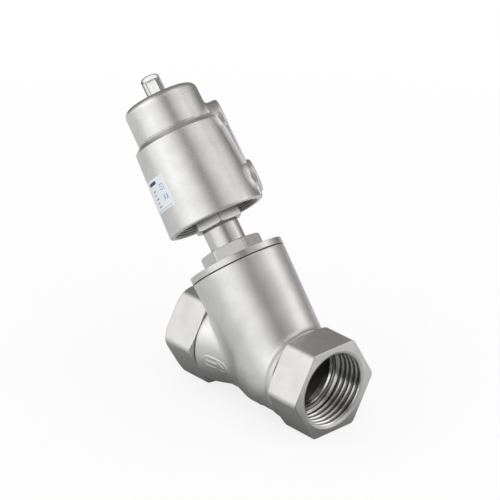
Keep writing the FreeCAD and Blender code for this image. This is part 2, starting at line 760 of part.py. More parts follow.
def add_air_boss(body, name, height, face_radius):
    """The round boss of a pilot air port, on the body's own +X side."""
    outline = new_sketch(body, f"{name}_boss_outline", "YZ_Plane", z.spring_chamber_radius)
    draw_circle(outline, ZERO, height, z.air_boss_radius)
    pad(body, f"{name}_boss", outline, face_radius - z.spring_chamber_radius)
    round_edges(body, f"{name}_boss_edge", z.air_boss_edge, [(z.air_boss_radius, height)])


def drill_air_port(body, name, height, face_radius, passage_rise, passage_end):
    """The threaded hole of a pilot air port with its mouth and its small passage inwards."""
    floor = face_radius - z.air_thread_depth
    mouth_depth = z.air_mouth_radius - z.air_thread_radius
    cuts = (
        ("mouth", face_radius, height, z.air_mouth_radius, mouth_depth),
        ("thread", face_radius, height, z.air_thread_radius, z.air_thread_depth),
        ("passage", floor, height + passage_rise, z.air_passage_radius, floor - passage_end),
    )
    for cut, start, up, radius, depth in cuts:
        outline = new_sketch(body, f"{name}_{cut}_outline", "YZ_Plane", start)
        draw_circle(outline, ZERO, up, radius)
        pocket(body, f"{name}_{cut}", outline, depth, False)


def make_housing_skin():
    """The outside of the cylinder casting: drafted skirt, cap, two bosses and the rib that joins them."""
    low, high = z.rim_height, z.shoulder_height
    cap_foot = high + z.shoulder_chamfer_height
    cap_start = cap_foot + z.cap_groove_height
    groove_floor = z.cap_foot_radius - z.cap_groove_depth
    body = turned("actuator_housing", [
        (ZERO, low), (z.rim_radius - z.rim_chamfer, low),
        (housing_radius_at(low + z.rim_chamfer), low + z.rim_chamfer), (z.shoulder_radius, high),
        (z.shoulder_radius - z.shoulder_edge, high + z.shoulder_edge), (z.cap_foot_radius, cap_foot),
        (groove_floor, cap_foot), (groove_floor, cap_start), (z.cap_foot_radius, cap_start),
        (z.cap_top_radius, z.cap_top_height), (z.dome_radius * 1.4, CROWN_HEIGHT), (ZERO, CROWN_HEIGHT),
    ], ON_HEAD)
    round_edges(body, "cap_edge", z.cap_round, [(z.cap_top_radius, z.cap_top_height)])
    add_air_boss(body, "lower_air", z.lower_air_height, z.lower_air_face_radius)
    add_air_boss(body, "upper_air", z.upper_air_height, z.upper_air_face_radius)
    rib = new_sketch(body, "rib_outline", "YZ_Plane", z.spring_chamber_radius)
    half = z.rib_width / 2
    draw_outline(rib, [(-half, z.rib_bottom_height), (half, z.rib_bottom_height), (half, z.rib_top_height),
                       (-half, z.rib_top_height)])
    pad(body, "rib", rib, z.rib_face_radius - z.spring_chamber_radius)
    return body


def make_housing():
    """The cylinder casting, bored in steps from below and drilled for air."""
    body = make_housing_skin()
    low = z.rim_height
    mouth_depth = z.rim_mouth_radius - z.housing_thread_radius
    seal_seat = z.dome_radius + z.dome_seal_section / 2
    seal_floor = CROWN_HEIGHT - z.dome_seal_section * 2 - z.seal_clearance * 2
    dome_hole = z.dome_foot_radius + z.thread_clearance
    drill_air_port(body, "lower_air", z.lower_air_height, z.lower_air_face_radius,
                   z.lower_air_passage_rise, z.spring_chamber_radius)
    drill_air_port(body, "upper_air", z.upper_air_height, z.upper_air_face_radius,
                   ZERO, z.spring_chamber_radius - z.outer_spring_wire)
    groove(body, "housing_bore", [
        (ZERO, low), (z.rim_mouth_radius, low), (z.housing_thread_radius, low + mouth_depth),
        (z.housing_thread_radius, COVER_THREAD_TOP), (z.cylinder_radius, COVER_THREAD_TOP),
        (z.cylinder_radius, z.cylinder_top_height), (z.spring_chamber_radius, z.cylinder_top_height),
        (z.spring_chamber_radius, SPRING_CHAMBER_TOP), (dome_hole, SPRING_CHAMBER_TOP),
        (dome_hole, seal_floor), (seal_seat, seal_floor), (seal_seat, CROWN_HEIGHT), (ZERO, CROWN_HEIGHT),
    ])
    return body


def make_label():
    """Blank foil label that follows the housing's draft, on the side away from the air ports."""
    bottom = z.label_bottom_height
    top = bottom + z.label_height
    inner_low = housing_radius_at(bottom) + z.label_glue
    inner_high = housing_radius_at(top) + z.label_glue
    return turned("label", [
        (inner_low, bottom), (inner_low + z.label_thickness, bottom),
        (inner_high + z.label_thickness, top), (inner_high, top),
    ], axis_placement(z.label_turn_angle.value), z.label_angle)


def make_indicator_dome():
    """Clear screwed dome with a driver slot, and its seal."""
    foot_bottom = CROWN_HEIGHT - z.dome_foot_depth
    body = turned("indicator_dome", [
        (z.dome_bore_radius, foot_bottom), (z.dome_foot_radius, foot_bottom),
        (z.dome_foot_radius, CROWN_HEIGHT), (z.dome_radius, CROWN_HEIGHT), (z.dome_radius, DOME_TOP),
        (ZERO, DOME_TOP), (ZERO, DOME_BORE_END), (z.dome_bore_radius, DOME_BORE_END),
    ], ON_HEAD)
    round_edges(body, "dome_edge", z.dome_round, [(z.dome_radius, DOME_TOP)])
    slot = new_sketch(body, "dome_slot_outline", "XY_Plane", DOME_TOP)
    half = z.dome_slot_width / 2
    reach = z.dome_radius * 1.2
    draw_outline(slot, [(-reach, -half), (reach, -half), (reach, half), (-reach, half)])
    pocket(body, "dome_slot", slot, z.dome_slot_depth, False)
    seal = torus("dome_o_ring", z.dome_foot_radius + z.thread_clearance * 2 + z.dome_seal_section,
                 z.dome_seal_section, CROWN_HEIGHT - z.dome_seal_section - z.seal_clearance, ON_HEAD)
    return [body, seal]


# Piston, return springs and stem: they slide along the actuator's axis.


def make_piston_group():
    """Piston with its seal, guide ring and joint seal, and the washer and nut that hold it."""
    lower = PISTON_BOTTOM
    relief_radius = PISTON_RADIUS - z.piston_relief + z.piston_clearance
    relief_top = lower + z.piston_relief_height
    seal_low = lower + z.seal_groove_rise
    seal_high = seal_low + z.seal_groove_height
    seal_floor = PISTON_RADIUS - z.seal_groove_depth
    guide_low = lower + z.guide_groove_rise
    guide_high = guide_low + z.guide_groove_height
    guide_floor = PISTON_RADIUS - z.guide_groove_depth
    pocket_top = lower + z.stem_seal_pocket_depth
    piston = turned("piston", [
        (z.stem_seal_pocket_radius, lower), (relief_radius, lower), (relief_radius, relief_top),
        (PISTON_RADIUS, relief_top), (PISTON_RADIUS, seal_low), (seal_floor, seal_low),
        (seal_floor, seal_high), (PISTON_RADIUS, seal_high), (PISTON_RADIUS, guide_low),
        (guide_floor, guide_low), (guide_floor, guide_high), (PISTON_RADIUS, guide_high),
        (PISTON_RADIUS, PISTON_TOP), (z.spring_seat_radius, PISTON_TOP), (z.spring_seat_radius, SPRING_SEAT),
        (z.piston_hub_radius, SPRING_SEAT), (z.piston_hub_radius, PISTON_TOP), (STEM_THREAD_HOLE, PISTON_TOP),
        (STEM_THREAD_HOLE, pocket_top), (z.stem_seal_pocket_radius, pocket_top),
    ], ON_AXIS)
    seal_outer = z.cylinder_radius - z.seal_clearance
    waist = seal_outer - z.seal_clearance * 10
    height = z.seal_groove_height
    seal = turned("piston_seal", [
        (seal_floor, seal_low), (seal_outer, seal_low), (waist, seal_low + height / 3),
        (waist, seal_high - height / 3), (seal_outer, seal_high), (seal_floor, seal_high),
    ], ON_AXIS)
    guide = ring("piston_guide_ring", guide_floor, z.cylinder_radius - z.running_clearance, guide_low,
                 guide_high, ON_AXIS)
    joint_seal = torus("stem_joint_o_ring", z.stem_thread_radius + z.stem_thread_clearance
                       + z.stem_joint_seal_section, z.stem_joint_seal_section,
                       lower + z.stem_joint_seal_section, ON_AXIS)
    washer = ring("piston_washer", STEM_THREAD_HOLE, z.piston_washer_radius, PISTON_TOP, WASHER_TOP, ON_AXIS)
    return [piston, seal, guide, joint_seal, washer, make_nut("piston_nut", WASHER_TOP)]


def make_nut(label, bottom):
    """A hexagon nut with both ends chamfered, drawn with its thread's minor wall on the stem."""
    corner = z.nut_flats / ROOT_THREE
    turned_off = corner - z.hex_corner_chamfer
    top = bottom + z.nut_height
    chamfer = z.hex_corner_chamfer / 2
    nut = turned(label, [
        (STEM_THREAD_HOLE, bottom), (turned_off, bottom), (corner, bottom + chamfer),
        (corner, top - chamfer), (turned_off, top), (STEM_THREAD_HOLE, top),
    ], ON_AXIS)
    mill_hexagon(nut, f"{label}_flats", z.nut_flats, ZERO, bottom, z.nut_height)
    return nut


def make_return_springs():
    """Two nested springs of opposite hand between piston and cap."""
    bottom = SPRING_SEAT + z.spring_end_gap
    top = SPRING_CHAMBER_TOP - z.spring_end_gap
    outer = coil_spring("return_spring_outer", z.outer_spring_wire, z.outer_spring_radius,
                        z.outer_spring_turns, bottom, top, ON_AXIS)
    inner = coil_spring("return_spring_inner", z.inner_spring_wire, z.inner_spring_radius,
                        z.inner_spring_turns, bottom, top, ON_AXIS, left_handed=True)
    return [outer, inner]


def make_stem():
    """The stem: threaded foot for the plug, polished shaft, threaded top with the indicator's hole."""
    foot = DISC_NUT_BOTTOM - z.stem_end_above_nut
    thread = z.stem_thread_radius
    pin_hole = z.indicator_pin_radius + z.running_clearance
    pin_floor = STEM_TOP - z.indicator_pin_length - z.gland_clearance
    return turned("stem", [
        (ZERO, foot), (thread, foot), (thread, PLUG_TOP), (z.stem_radius, PLUG_TOP),
        (z.stem_radius, PISTON_BOTTOM), (thread, PISTON_BOTTOM), (thread, STEM_TOP),
        (pin_hole, STEM_TOP), (pin_hole, pin_floor), (ZERO, pin_floor),
    ], ON_AXIS)


def make_indicator_rod():
    """The rod that rises into the dome as the valve opens."""
    return turned("indicator_rod", [
        (ZERO, STEM_TOP - z.indicator_pin_length), (z.indicator_pin_radius, STEM_TOP - z.indicator_pin_length),
        (z.indicator_pin_radius, STEM_TOP), (z.indicator_radius, STEM_TOP),
        (z.indicator_radius, INDICATOR_TOP), (ZERO, INDICATOR_TOP),
    ], ON_AXIS)


def make_plug_group():
    """Plug, soft disc, retainer and nut on the stem's foot."""
    rim_bottom = DISC_BOTTOM + z.plug_rim_lift
    pocket_radius = z.disc_radius + z.running_clearance
    plug = turned("plug", [
        (STEM_THREAD_HOLE, DISC_TOP), (pocket_radius, DISC_TOP), (pocket_radius, rim_bottom),
        (z.plug_rim_radius, rim_bottom), (z.plug_rim_radius, DISC_TOP), (z.disc_radius, PLUG_PLATE_TOP),
        (z.plug_hub_radius, PLUG_PLATE_TOP), (z.plug_hub_radius, PLUG_TOP), (STEM_THREAD_HOLE, PLUG_TOP),
    ], ON_AXIS)
    disc = ring("disc_seal", STEM_THREAD_HOLE, z.disc_radius, DISC_BOTTOM, DISC_TOP, ON_AXIS)
    retainer = turned("disc_retainer", [
        (STEM_THREAD_HOLE, RETAINER_BOTTOM), (z.retainer_radius - z.retainer_thickness / 2, RETAINER_BOTTOM),
        (z.retainer_radius, DISC_BOTTOM - z.retainer_thickness / 2), (z.retainer_radius, DISC_BOTTOM),
        (STEM_THREAD_HOLE, DISC_BOTTOM),
    ], ON_AXIS)
    return [plug, disc, retainer, make_nut("disc_nut", DISC_NUT_BOTTOM)]


def check_document():
    """Stops with a message where a feature failed."""
    doc.recompute()
    failed = [item.Name for item in doc.Objects if "Invalid" in item.State or "Error" in item.State]
    if failed:
        raise RuntimeError(f"failed objects: {failed}")


def write_parts(pieces):
    """Writes each piece, after a check that it is sound, to a file named after it."""
    check_document()
    os.makedirs("parts", exist_ok=True)
    for piece in pieces:
        shape = piece.Shape
        if shape.isNull() or not shape.isValid() or not shape.Solids:
            raise RuntimeError(f"{piece.Label} has no sound shape")
        print(f"{piece.Label}: {len(shape.Solids)} solid(s), {shape.Volume:.1f} mm3")
        shape.exportStep(f"parts/{piece.Label}.step")


PIECES = [make_valve_body(), make_body_gasket(), make_bonnet()]
PIECES += make_packing()
PIECES += make_stem_guide()
PIECES += make_swivel_parts()
PIECES += make_lower_cover()
PIECES += [make_housing(), make_label()]
PIECES += make_indicator_dome()
PIECES += make_piston_group()
PIECES += make_return_springs()
PIECES += [make_stem(), make_indicator_rod()]
PIECES += make_plug_group()
write_parts(PIECES)
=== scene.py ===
"""Angle-seat piston valve: the looks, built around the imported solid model.

Shapes are worked out in millimetres, in the model's own frame, and put into the meshes in metres.
"""
from __future__ import annotations

import json
import logging
import math
from dataclasses import dataclass, field
from enum import Enum
from typing import Callable, Sequence

import bmesh
import bpy
import numpy as np
from mathutils import Matrix, Vector

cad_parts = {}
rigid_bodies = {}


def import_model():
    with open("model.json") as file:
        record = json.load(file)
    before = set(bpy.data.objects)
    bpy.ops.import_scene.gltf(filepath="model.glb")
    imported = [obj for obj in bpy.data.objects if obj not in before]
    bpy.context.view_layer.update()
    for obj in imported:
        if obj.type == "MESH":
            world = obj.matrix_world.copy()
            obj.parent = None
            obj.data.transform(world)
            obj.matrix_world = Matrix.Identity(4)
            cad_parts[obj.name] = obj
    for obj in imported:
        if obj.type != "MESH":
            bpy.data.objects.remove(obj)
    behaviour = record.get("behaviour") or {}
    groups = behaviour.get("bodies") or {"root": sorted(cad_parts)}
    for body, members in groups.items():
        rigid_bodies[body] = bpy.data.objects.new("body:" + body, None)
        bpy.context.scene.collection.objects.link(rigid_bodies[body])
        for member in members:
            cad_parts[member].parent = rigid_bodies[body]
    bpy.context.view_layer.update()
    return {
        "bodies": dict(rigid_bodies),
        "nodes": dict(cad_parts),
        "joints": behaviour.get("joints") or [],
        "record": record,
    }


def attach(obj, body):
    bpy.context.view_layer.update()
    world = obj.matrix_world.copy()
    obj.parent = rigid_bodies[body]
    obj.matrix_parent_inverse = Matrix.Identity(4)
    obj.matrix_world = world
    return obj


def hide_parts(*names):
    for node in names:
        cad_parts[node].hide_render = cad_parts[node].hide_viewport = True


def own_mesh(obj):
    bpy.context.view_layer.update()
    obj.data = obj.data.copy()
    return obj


LOG = logging.getLogger("valve")
MM = 0.001
LEAN = math.radians(50.0)
CROSSING = 76.0
FACE_TO_FACE = 116.0
PORT_TURN = 56.0
MAP_NAME = "UVMap"
MERGE_DISTANCE = 2e-6


class Body(Enum):
    """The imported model's moving bodies that carry new pieces."""

    BASE = "valve_base"
    HEAD = "actuator_head"


class Slot(Enum):
    """The record's material slots."""

    CAST = "cast_steel"
    TURNED = "turned_steel"
    SPRING = "spring_steel"
    LABEL = "label"


class Look(Enum):
    """The finishes, each with its material's name."""

    CAST_BODY = "cast_pipe_steel"
    CAST_HEAD = "satin_head_steel"
    # painted shade: the inner walls' steel is given a darker tone than the outside's
    SHADED_INNER_WALL = "dull_inner_steel"
    TURNED = "turned_bonnet_steel"
    MILLED = "milled_hexagon_steel"
    PORT_THREAD = "cut_thread_steel"
    MOUTH_THREAD = "skirt_thread_steel"
    SPRING = "drawn_spring_steel"
    BEARING = "grey_bearing_plastic"
    SEAL_PLASTIC = "white_seal_plastic"
    GASKET = "dark_gasket"
    RUBBER = "black_rubber"
    BRONZE = "bearing_bronze"
    PISTON = "anodised_piston"
    DOME = "clear_dome_plastic"
    INDICATOR = "red_indicator"
    LABEL = "printed_label_foil"


# Frames and profiles


@dataclass(frozen=True)
class AxisFrame:
    """A right-handed frame: a point on an axis and three directions, the last along the axis."""

    origin: tuple[float, float, float]
    across: tuple[float, float, float]
    side: tuple[float, float, float]
    along: tuple[float, float, float]

    def basis(self) -> np.ndarray:
        """The three directions as rows."""
        return np.array([self.across, self.side, self.along])

    def to_world(self, local: np.ndarray) -> np.ndarray:
        """Local points (..., 3) as points of the model's frame."""
        return local @ self.basis() + np.array(self.origin)

    def to_local(self, world: np.ndarray) -> np.ndarray:
        """Points of the model's frame (..., 3) as local points."""
        return (world - np.array(self.origin)) @ self.basis().T

    def round_places(self, world: np.ndarray) -> tuple[np.ndarray, np.ndarray]:
        """How far points (..., 3) lie from the axis, and how far along it."""
        local = self.to_local(world)
        return np.hypot(local[..., 0], local[..., 1]), local[..., 2]

    def ring_points(self, radius: np.ndarray, turn: np.ndarray, place: np.ndarray) -> np.ndarray:
        """Points about the axis: (radius * cos(turn), radius * sin(turn), place).

        Args:
            radius: Distances from the axis.
            turn: Angles about it, in radians.
            place: Places along it. The three arrays fit one grid.

        Returns:
            Points (..., 3) of the model's frame.
        """
        radius, turn, place = np.broadcast_arrays(radius, turn, place)
        return self.to_world(np.stack([radius * np.cos(turn), radius * np.sin(turn), place], -1))

    def turned(self, degrees: float) -> AxisFrame:
        """The same frame turned about its axis.

        Args:
            degrees: The angle, from across towards side.

        Returns:
            The turned frame.
        """
        a = math.radians(degrees)
        across, side = np.array(self.across), np.array(self.side)
        return AxisFrame(
            self.origin,
            tuple(math.cos(a) * across + math.sin(a) * side),
            tuple(math.cos(a) * side - math.sin(a) * across),
            self.along,
        )


PIPE = AxisFrame((0.0, 0.0, 0.0), (0.0, 1.0, 0.0), (0.0, 0.0, 1.0), (1.0, 0.0, 0.0))
STEM_AXIS = AxisFrame(
    (CROSSING, 0.0, 0.0),
    (math.sin(LEAN), 0.0, math.cos(LEAN)),
    (0.0, 1.0, 0.0),
    (-math.cos(LEAN), 0.0, math.sin(LEAN)),
)
HEAD_AXIS = STEM_AXIS.turned(PORT_TURN)


def full_turn(columns: int) -> np.ndarray:
    """Angles of a full turn, the first not repeated."""
    return np.linspace(0.0, 2 * math.pi, columns, endpoint=False)


def rounded_outline(corners: Sequence[tuple[float, float, float]], step: float) -> np.ndarray:
    """A run of straight lines with arcs at its corners, divided into short lengths.

    Each corner is (radius, height, rounding). A corner's arc touches both of its lines at
    rounding * tan(half of the turn) from the corner.

    Args:
        corners: Corner points with the radius of the arc at each.
        step: Longest length left undivided.

    Returns:
        Points (n, 2) of radius and height.
    """
    arc_step = 12
    points = [np.array(c[:2], float) for c in corners]
    outline = [points[0]]
    for before, here, after, corner in zip(points, points[1:], points[2:], corners[1:]):
        rounding = corner[2]
        into, out = here - before, after - here
        into, out = into / np.linalg.norm(into), out / np.linalg.norm(out)
        turn = math.acos(float(np.clip(into @ out, -1.0, 1.0)))
        if rounding <= 0.0 or turn < 0.01:
            outline.append(here)
            continue
        reach = rounding * math.tan(turn / 2)
        start, end = here - into * reach, here + out * reach
        count = max(3, int(math.degrees(turn) / arc_step) + 2)
        inward = out - into * (into @ out)
        inward = inward / np.linalg.norm(inward)
        centre = start + inward * rounding
        for angle in np.linspace(0.0, 1.0, count) * turn:
            outline.append(centre - inward * rounding * math.cos(angle) + into * rounding * math.sin(angle))
        outline[-1] = end
    outline.append(points[-1])
    dense = [outline[0]]
    for start, end in zip(outline, outline[1:]):
        pieces = max(1, math.ceil(float(np.linalg.norm(end - start)) / step))
        dense.extend(start + (end - start) * i / pieces for i in range(1, pieces + 1))
    return np.array(dense)


def soft_line(
    heights: Sequence[float], radii: Sequence[float], width: float,
) -> tuple[np.ndarray, np.ndarray]:
    """A broken line averaged over a sliding width, so that its corners are round.

    Args:
        heights: The line's heights.
        radii: The line's radii.
        width: The sliding width.

    Returns:
        Fine heights and the averaged radii.
    """
    step = 0.25
    fine = np.arange(heights[0], heights[-1] + 0.01, step)
    raw = np.interp(fine, heights, radii)
    count = max(1, int(width / step) | 1)
    window = np.hanning(count + 2)[1:-1]
    padded = np.pad(raw, count // 2, mode="edge")
    return fine, np.convolve(padded, window / window.sum(), mode="valid")


def saw_tooth(phase: np.ndarray) -> np.ndarray:
    """A straight-sided wave: 1 at whole phases and 0 half-way between."""
    return np.abs((phase % 1.0) * 2 - 1)


def smooth_rise(value: np.ndarray) -> np.ndarray:
    """A smooth step: 0 below 0, 1 above 1 and v * v * (3 - 2 v) between."""
    value = np.clip(value, 0, 1)
    return value * value * (3 - 2 * value)


def smooth_least(a: np.ndarray, b: np.ndarray, blend: float) -> np.ndarray:
    """The lesser of two values, rounded where they cross: -k log(exp(-a/k) + exp(-b/k)).

    Args:
        a: The first values.
        b: The second values.
        blend: The width k of the rounding.

    Returns:
        The rounded lesser values.
    """
    low = np.minimum(a, b)
    return low - blend * np.log(np.exp(-(a - low) / blend) + np.exp(-(b - low) / blend))


def hexagon_radius(turn: np.ndarray, flats: float, rounding: float, first_corner: float = 0.0) -> np.ndarray:
    """Distance from the axis to a hexagon's outline whose corners are arcs.

    On a flat it is half the width across flats over the cosine from the flat's normal. Near a
    corner it is the far crossing of the ray with the corner's circle.

    Args:
        turn: Angles about the axis, in radians.
        flats: Width across flats.
        rounding: Radius of the corners' arcs.
        first_corner: Angle of one corner, in degrees.

    Returns:
        The outline's radius at each angle.
    """
    sixth = math.pi / 3
    off_corner = (turn - math.radians(first_corner) + sixth / 2) % sixth - sixth / 2
    flat = flats / 2 / np.cos(sixth / 2 - np.abs(off_corner))
    centre = (flats / 2 - rounding) / math.cos(sixth / 2)
    chord = np.sqrt(np.clip(rounding**2 - (centre * np.sin(off_corner))**2, 0, None))
    tangent = sixth / 2 - math.atan((flats / 2 - rounding) * math.tan(sixth / 2) / (flats / 2))
    return np.where(np.abs(off_corner) < tangent, centre * np.cos(off_corner) + chord, flat)


@dataclass(frozen=True)
class HexagonBand:
    """A hexagon about an axis between two heights, its corners rounded and its ends cut by cones."""

    flats: float
    low: float
    high: float
    rounding: float
    first_corner: float
    low_cut: tuple[float, float]
    high_cut: tuple[float, float]
    edge: float
    cut_zone: float = 3.4
    cone_softness: float = 0.16

    def rows(self, turn: np.ndarray) -> tuple[np.ndarray, np.ndarray]:
        """The outer skin from the low end to the high one.

        The radius is the soft least of the rounded hexagon's and of two cones; each cone takes
        cut[1] off the corners at the end and leaves them whole cut[0] further in. The end edges
        are quarter circles.

        Args:
            turn: Angles of the columns.

        Returns:
            Heights (rows) and radii (rows, columns).
        """
        corner = self.flats / math.sqrt(3)
        span = self.high - self.low
        arc = self.edge * (1 - np.cos(np.linspace(0, math.pi / 2, 7)))
        near = np.concatenate([arc, np.linspace(self.edge, min(self.cut_zone, span / 2), 9)])
        middle = np.linspace(0.3, 0.7, 9) * span
        depth = np.unique(np.round(np.concatenate([near, middle, span - near]), 4))
        low_cone = corner - self.low_cut[1] + depth * self.low_cut[1] / self.low_cut[0]
        high_cone = corner - self.high_cut[1] + (span - depth) * self.high_cut[1] / self.high_cut[0]
        cone = np.minimum(low_cone, high_cone)[:, None]
        hexagon = hexagon_radius(turn, self.flats, self.rounding, self.first_corner)[None, :]
        radius = smooth_least(hexagon + 0 * cone, cone + 0 * hexagon, self.cone_softness)
        bite = np.clip(self.edge - np.minimum(depth, span - depth), 0, self.edge)
        return self.low + depth, radius - (self.edge - np.sqrt(self.edge**2 - bite**2))[:, None]


# Solids as distances, so that patches that meet can be drawn onto one blended skin


@dataclass(frozen=True)
class LatheSolid:
    """A turned solid: distance = (distance from the axis - radius at that height) * cosine of the slope."""

    frame: AxisFrame
    heights: tuple[float, ...]
    radii: tuple[float, ...]

    def radius_at(self, height: np.ndarray) -> np.ndarray:
        """The skin's radius at each height."""
        return np.interp(height, self.heights, self.radii)

    def distance(self, points: np.ndarray) -> np.ndarray:
        """How far points lie outside the turned skin.

        Args:
            points: Points (..., 3) of the model's frame.

        Returns:
            Signed distances (...), negative inside.
        """
        nudge = 0.05
        from_axis, height = self.frame.round_places(points)
        radius = self.radius_at(height)
        slope = (self.radius_at(height + nudge) - radius) / nudge
        aside = (from_axis - radius) / np.sqrt(1 + slope**2)
        beyond = np.maximum(self.heights[0] - height, height - self.heights[-1])
        return np.maximum(aside, beyond)


@dataclass(frozen=True)
class BossSolid:
    """A round boss with a rounded rim whose own axis stands across the head's axis."""

    frame: AxisFrame
    radius: float
    face: float
    rounding: float

    def distance(self, points: np.ndarray) -> np.ndarray:
        """How far points lie outside the boss, a cylinder with a rounded rim.

        Args:
            points: Points (..., 3) of the model's frame.

        Returns:
            Signed distances (...), negative inside.
        """
        from_axis, height = self.frame.round_places(points)
        aside = from_axis - (self.radius - self.rounding)
        over = height - (self.face - self.rounding)
        outside = np.hypot(np.maximum(aside, 0), np.maximum(over, 0))
        return outside + np.minimum(np.maximum(aside, over), 0) - self.rounding


@dataclass(frozen=True)
class RibSolid:
    """A straight rib along the head's axis with rounded edges."""

    frame: AxisFrame
    half_width: float
    low: float
    high: float
    face: float
    rounding: float

    def distance(self, points: np.ndarray) -> np.ndarray:
        """How far points lie outside the rib, a box with rounded edges.

        Args:
            points: Points (..., 3) of the model's frame.

        Returns:
            Signed distances (...), negative inside.
        """
        local = self.frame.to_local(points)
        middle, half = (self.low + self.high) / 2, (self.high - self.low) / 2
        gaps = np.stack([
            local[..., 0] - (self.face - self.rounding),
            np.abs(local[..., 1]) - (self.half_width - self.rounding),
            np.abs(local[..., 2] - middle) - (half - self.rounding),
        ], -1)
        outside = np.linalg.norm(np.maximum(gaps, 0), axis=-1)
        return outside + np.minimum(gaps.max(-1), 0) - self.rounding


@dataclass(frozen=True)
class JoinedSolid:
    """Several solids joined with sharp inner corners."""

    parts: tuple[BossSolid | RibSolid, ...]

    def distance(self, points: np.ndarray) -> np.ndarray:
        """The least of the parts' distances."""
        return np.minimum.reduce([part.distance(points) for part in self.parts])


Solid = LatheSolid | BossSolid | RibSolid | JoinedSolid


@dataclass(frozen=True)
class BlendedSkin:
    """Several solids joined with soft fillets."""

    solids: tuple[Solid, ...]
    blend: float
    pipe_ends: tuple[float, float] | None = None
    fade: float = 7.0
    least_share: float = 0.03

    def width(self, points: np.ndarray) -> np.ndarray | float:
        """The fillet's width, which dies away towards the two hexagons where the skin meets them.

        Args:
            points: Points (..., 3) of the model's frame.

        Returns:
            The width at each point, or one width for all.
        """
        if self.pipe_ends is None:
            return self.blend
        room = np.minimum(points[..., 0] - self.pipe_ends[0], self.pipe_ends[1] - points[..., 0])
        return self.blend * np.clip(room / self.fade, self.least_share, 1.0)

    def distance(self, points: np.ndarray) -> np.ndarray:
        """Least distance, with a parabola of the fillet's width where two are alike.

        Args:
            points: Points (..., 3) of the model's frame.

        Returns:
            Signed distances (...), negative inside.
        """
        width = self.width(points)
        total = self.solids[0].distance(points)
        for solid in self.solids[1:]:
            other = solid.distance(points)
            share = np.clip(0.5 + 0.5 * (other - total) / width, 0, 1)
            total = other * (1 - share) + total * share - width * share * (1 - share)
        return total

    def settled(self, points: np.ndarray, own: Solid | None, steps: int = 5) -> np.ndarray:
        """Points of one solid's skin moved out along the gradient onto the blended skin.

        Args:
            points: Points (..., 3) on the solid's own skin.
            own: That solid. A point that lies off it, as in a hole, keeps that distance; with None
                every point goes onto the skin.
            steps: Newton steps.

        Returns:
            The moved points. Points away from the other solids stay where they are.
        """
        nudge, least_slope, close_enough = 0.02, 0.3, 1e-4
        moved = points.copy()
        offset = 0.0 if own is None else own.distance(points)
        for _ in range(steps):
            error = self.distance(moved) - offset
            slope = np.empty_like(moved)
            for axis, aside in enumerate(np.eye(3) * nudge):
                slope[..., axis] = (self.distance(moved + aside) - self.distance(moved - aside)) / (2 * nudge)
            size = np.maximum((slope**2).sum(-1), least_slope)
            push = np.where(np.abs(error) > close_enough, error / size, 0.0)
            moved = moved - slope * push[..., None]
        return moved

    @staticmethod
    def uncovered(points: np.ndarray, others: Sequence[Solid], margin: float) -> np.ndarray:
        """Where points of one solid's skin don't lie deep in another.

        Args:
            points: Points (..., 3) on the solid's skin.
            others: The other solids.
            margin: The depth that is still kept.

        Returns:
            True for points to keep.
        """
        return np.minimum.reduce([solid.distance(points) for solid in others]) > -margin


# Meshes


def lathe_points(frame: AxisFrame, outline: np.ndarray, turn: np.ndarray) -> np.ndarray:
    """The grid that an outline sweeps about a frame's axis.

    Args:
        frame: The frame.
        outline: Points (rows, 2) of radius and height.
        turn: Angles of the columns.

    Returns:
        Points (rows, columns, 3) of the model's frame.
    """
    return frame.ring_points(outline[:, 0][:, None], turn, outline[:, 1][:, None])


def grid_faces(rows: int, columns: int, wrapped: bool, flipped: bool) -> np.ndarray:
    """The four-sided faces of a grid of points.

    Args:
        rows: Rows of points.
        columns: Points in a row.
        wrapped: Whether the last column joins the first.
        flipped: Turns the faces round.

    Returns:
        Point numbers (faces, 4).
    """
    index = np.arange(rows * columns).reshape(rows, columns)
    right = np.roll(index, -1, 1) if wrapped else index[:, 1:]
    left = index if wrapped else index[:, :-1]
    faces = np.stack([left[:-1], right[:-1], right[1:], left[1:]], -1).reshape(-1, 4)
    return faces[:, ::-1] if flipped else faces


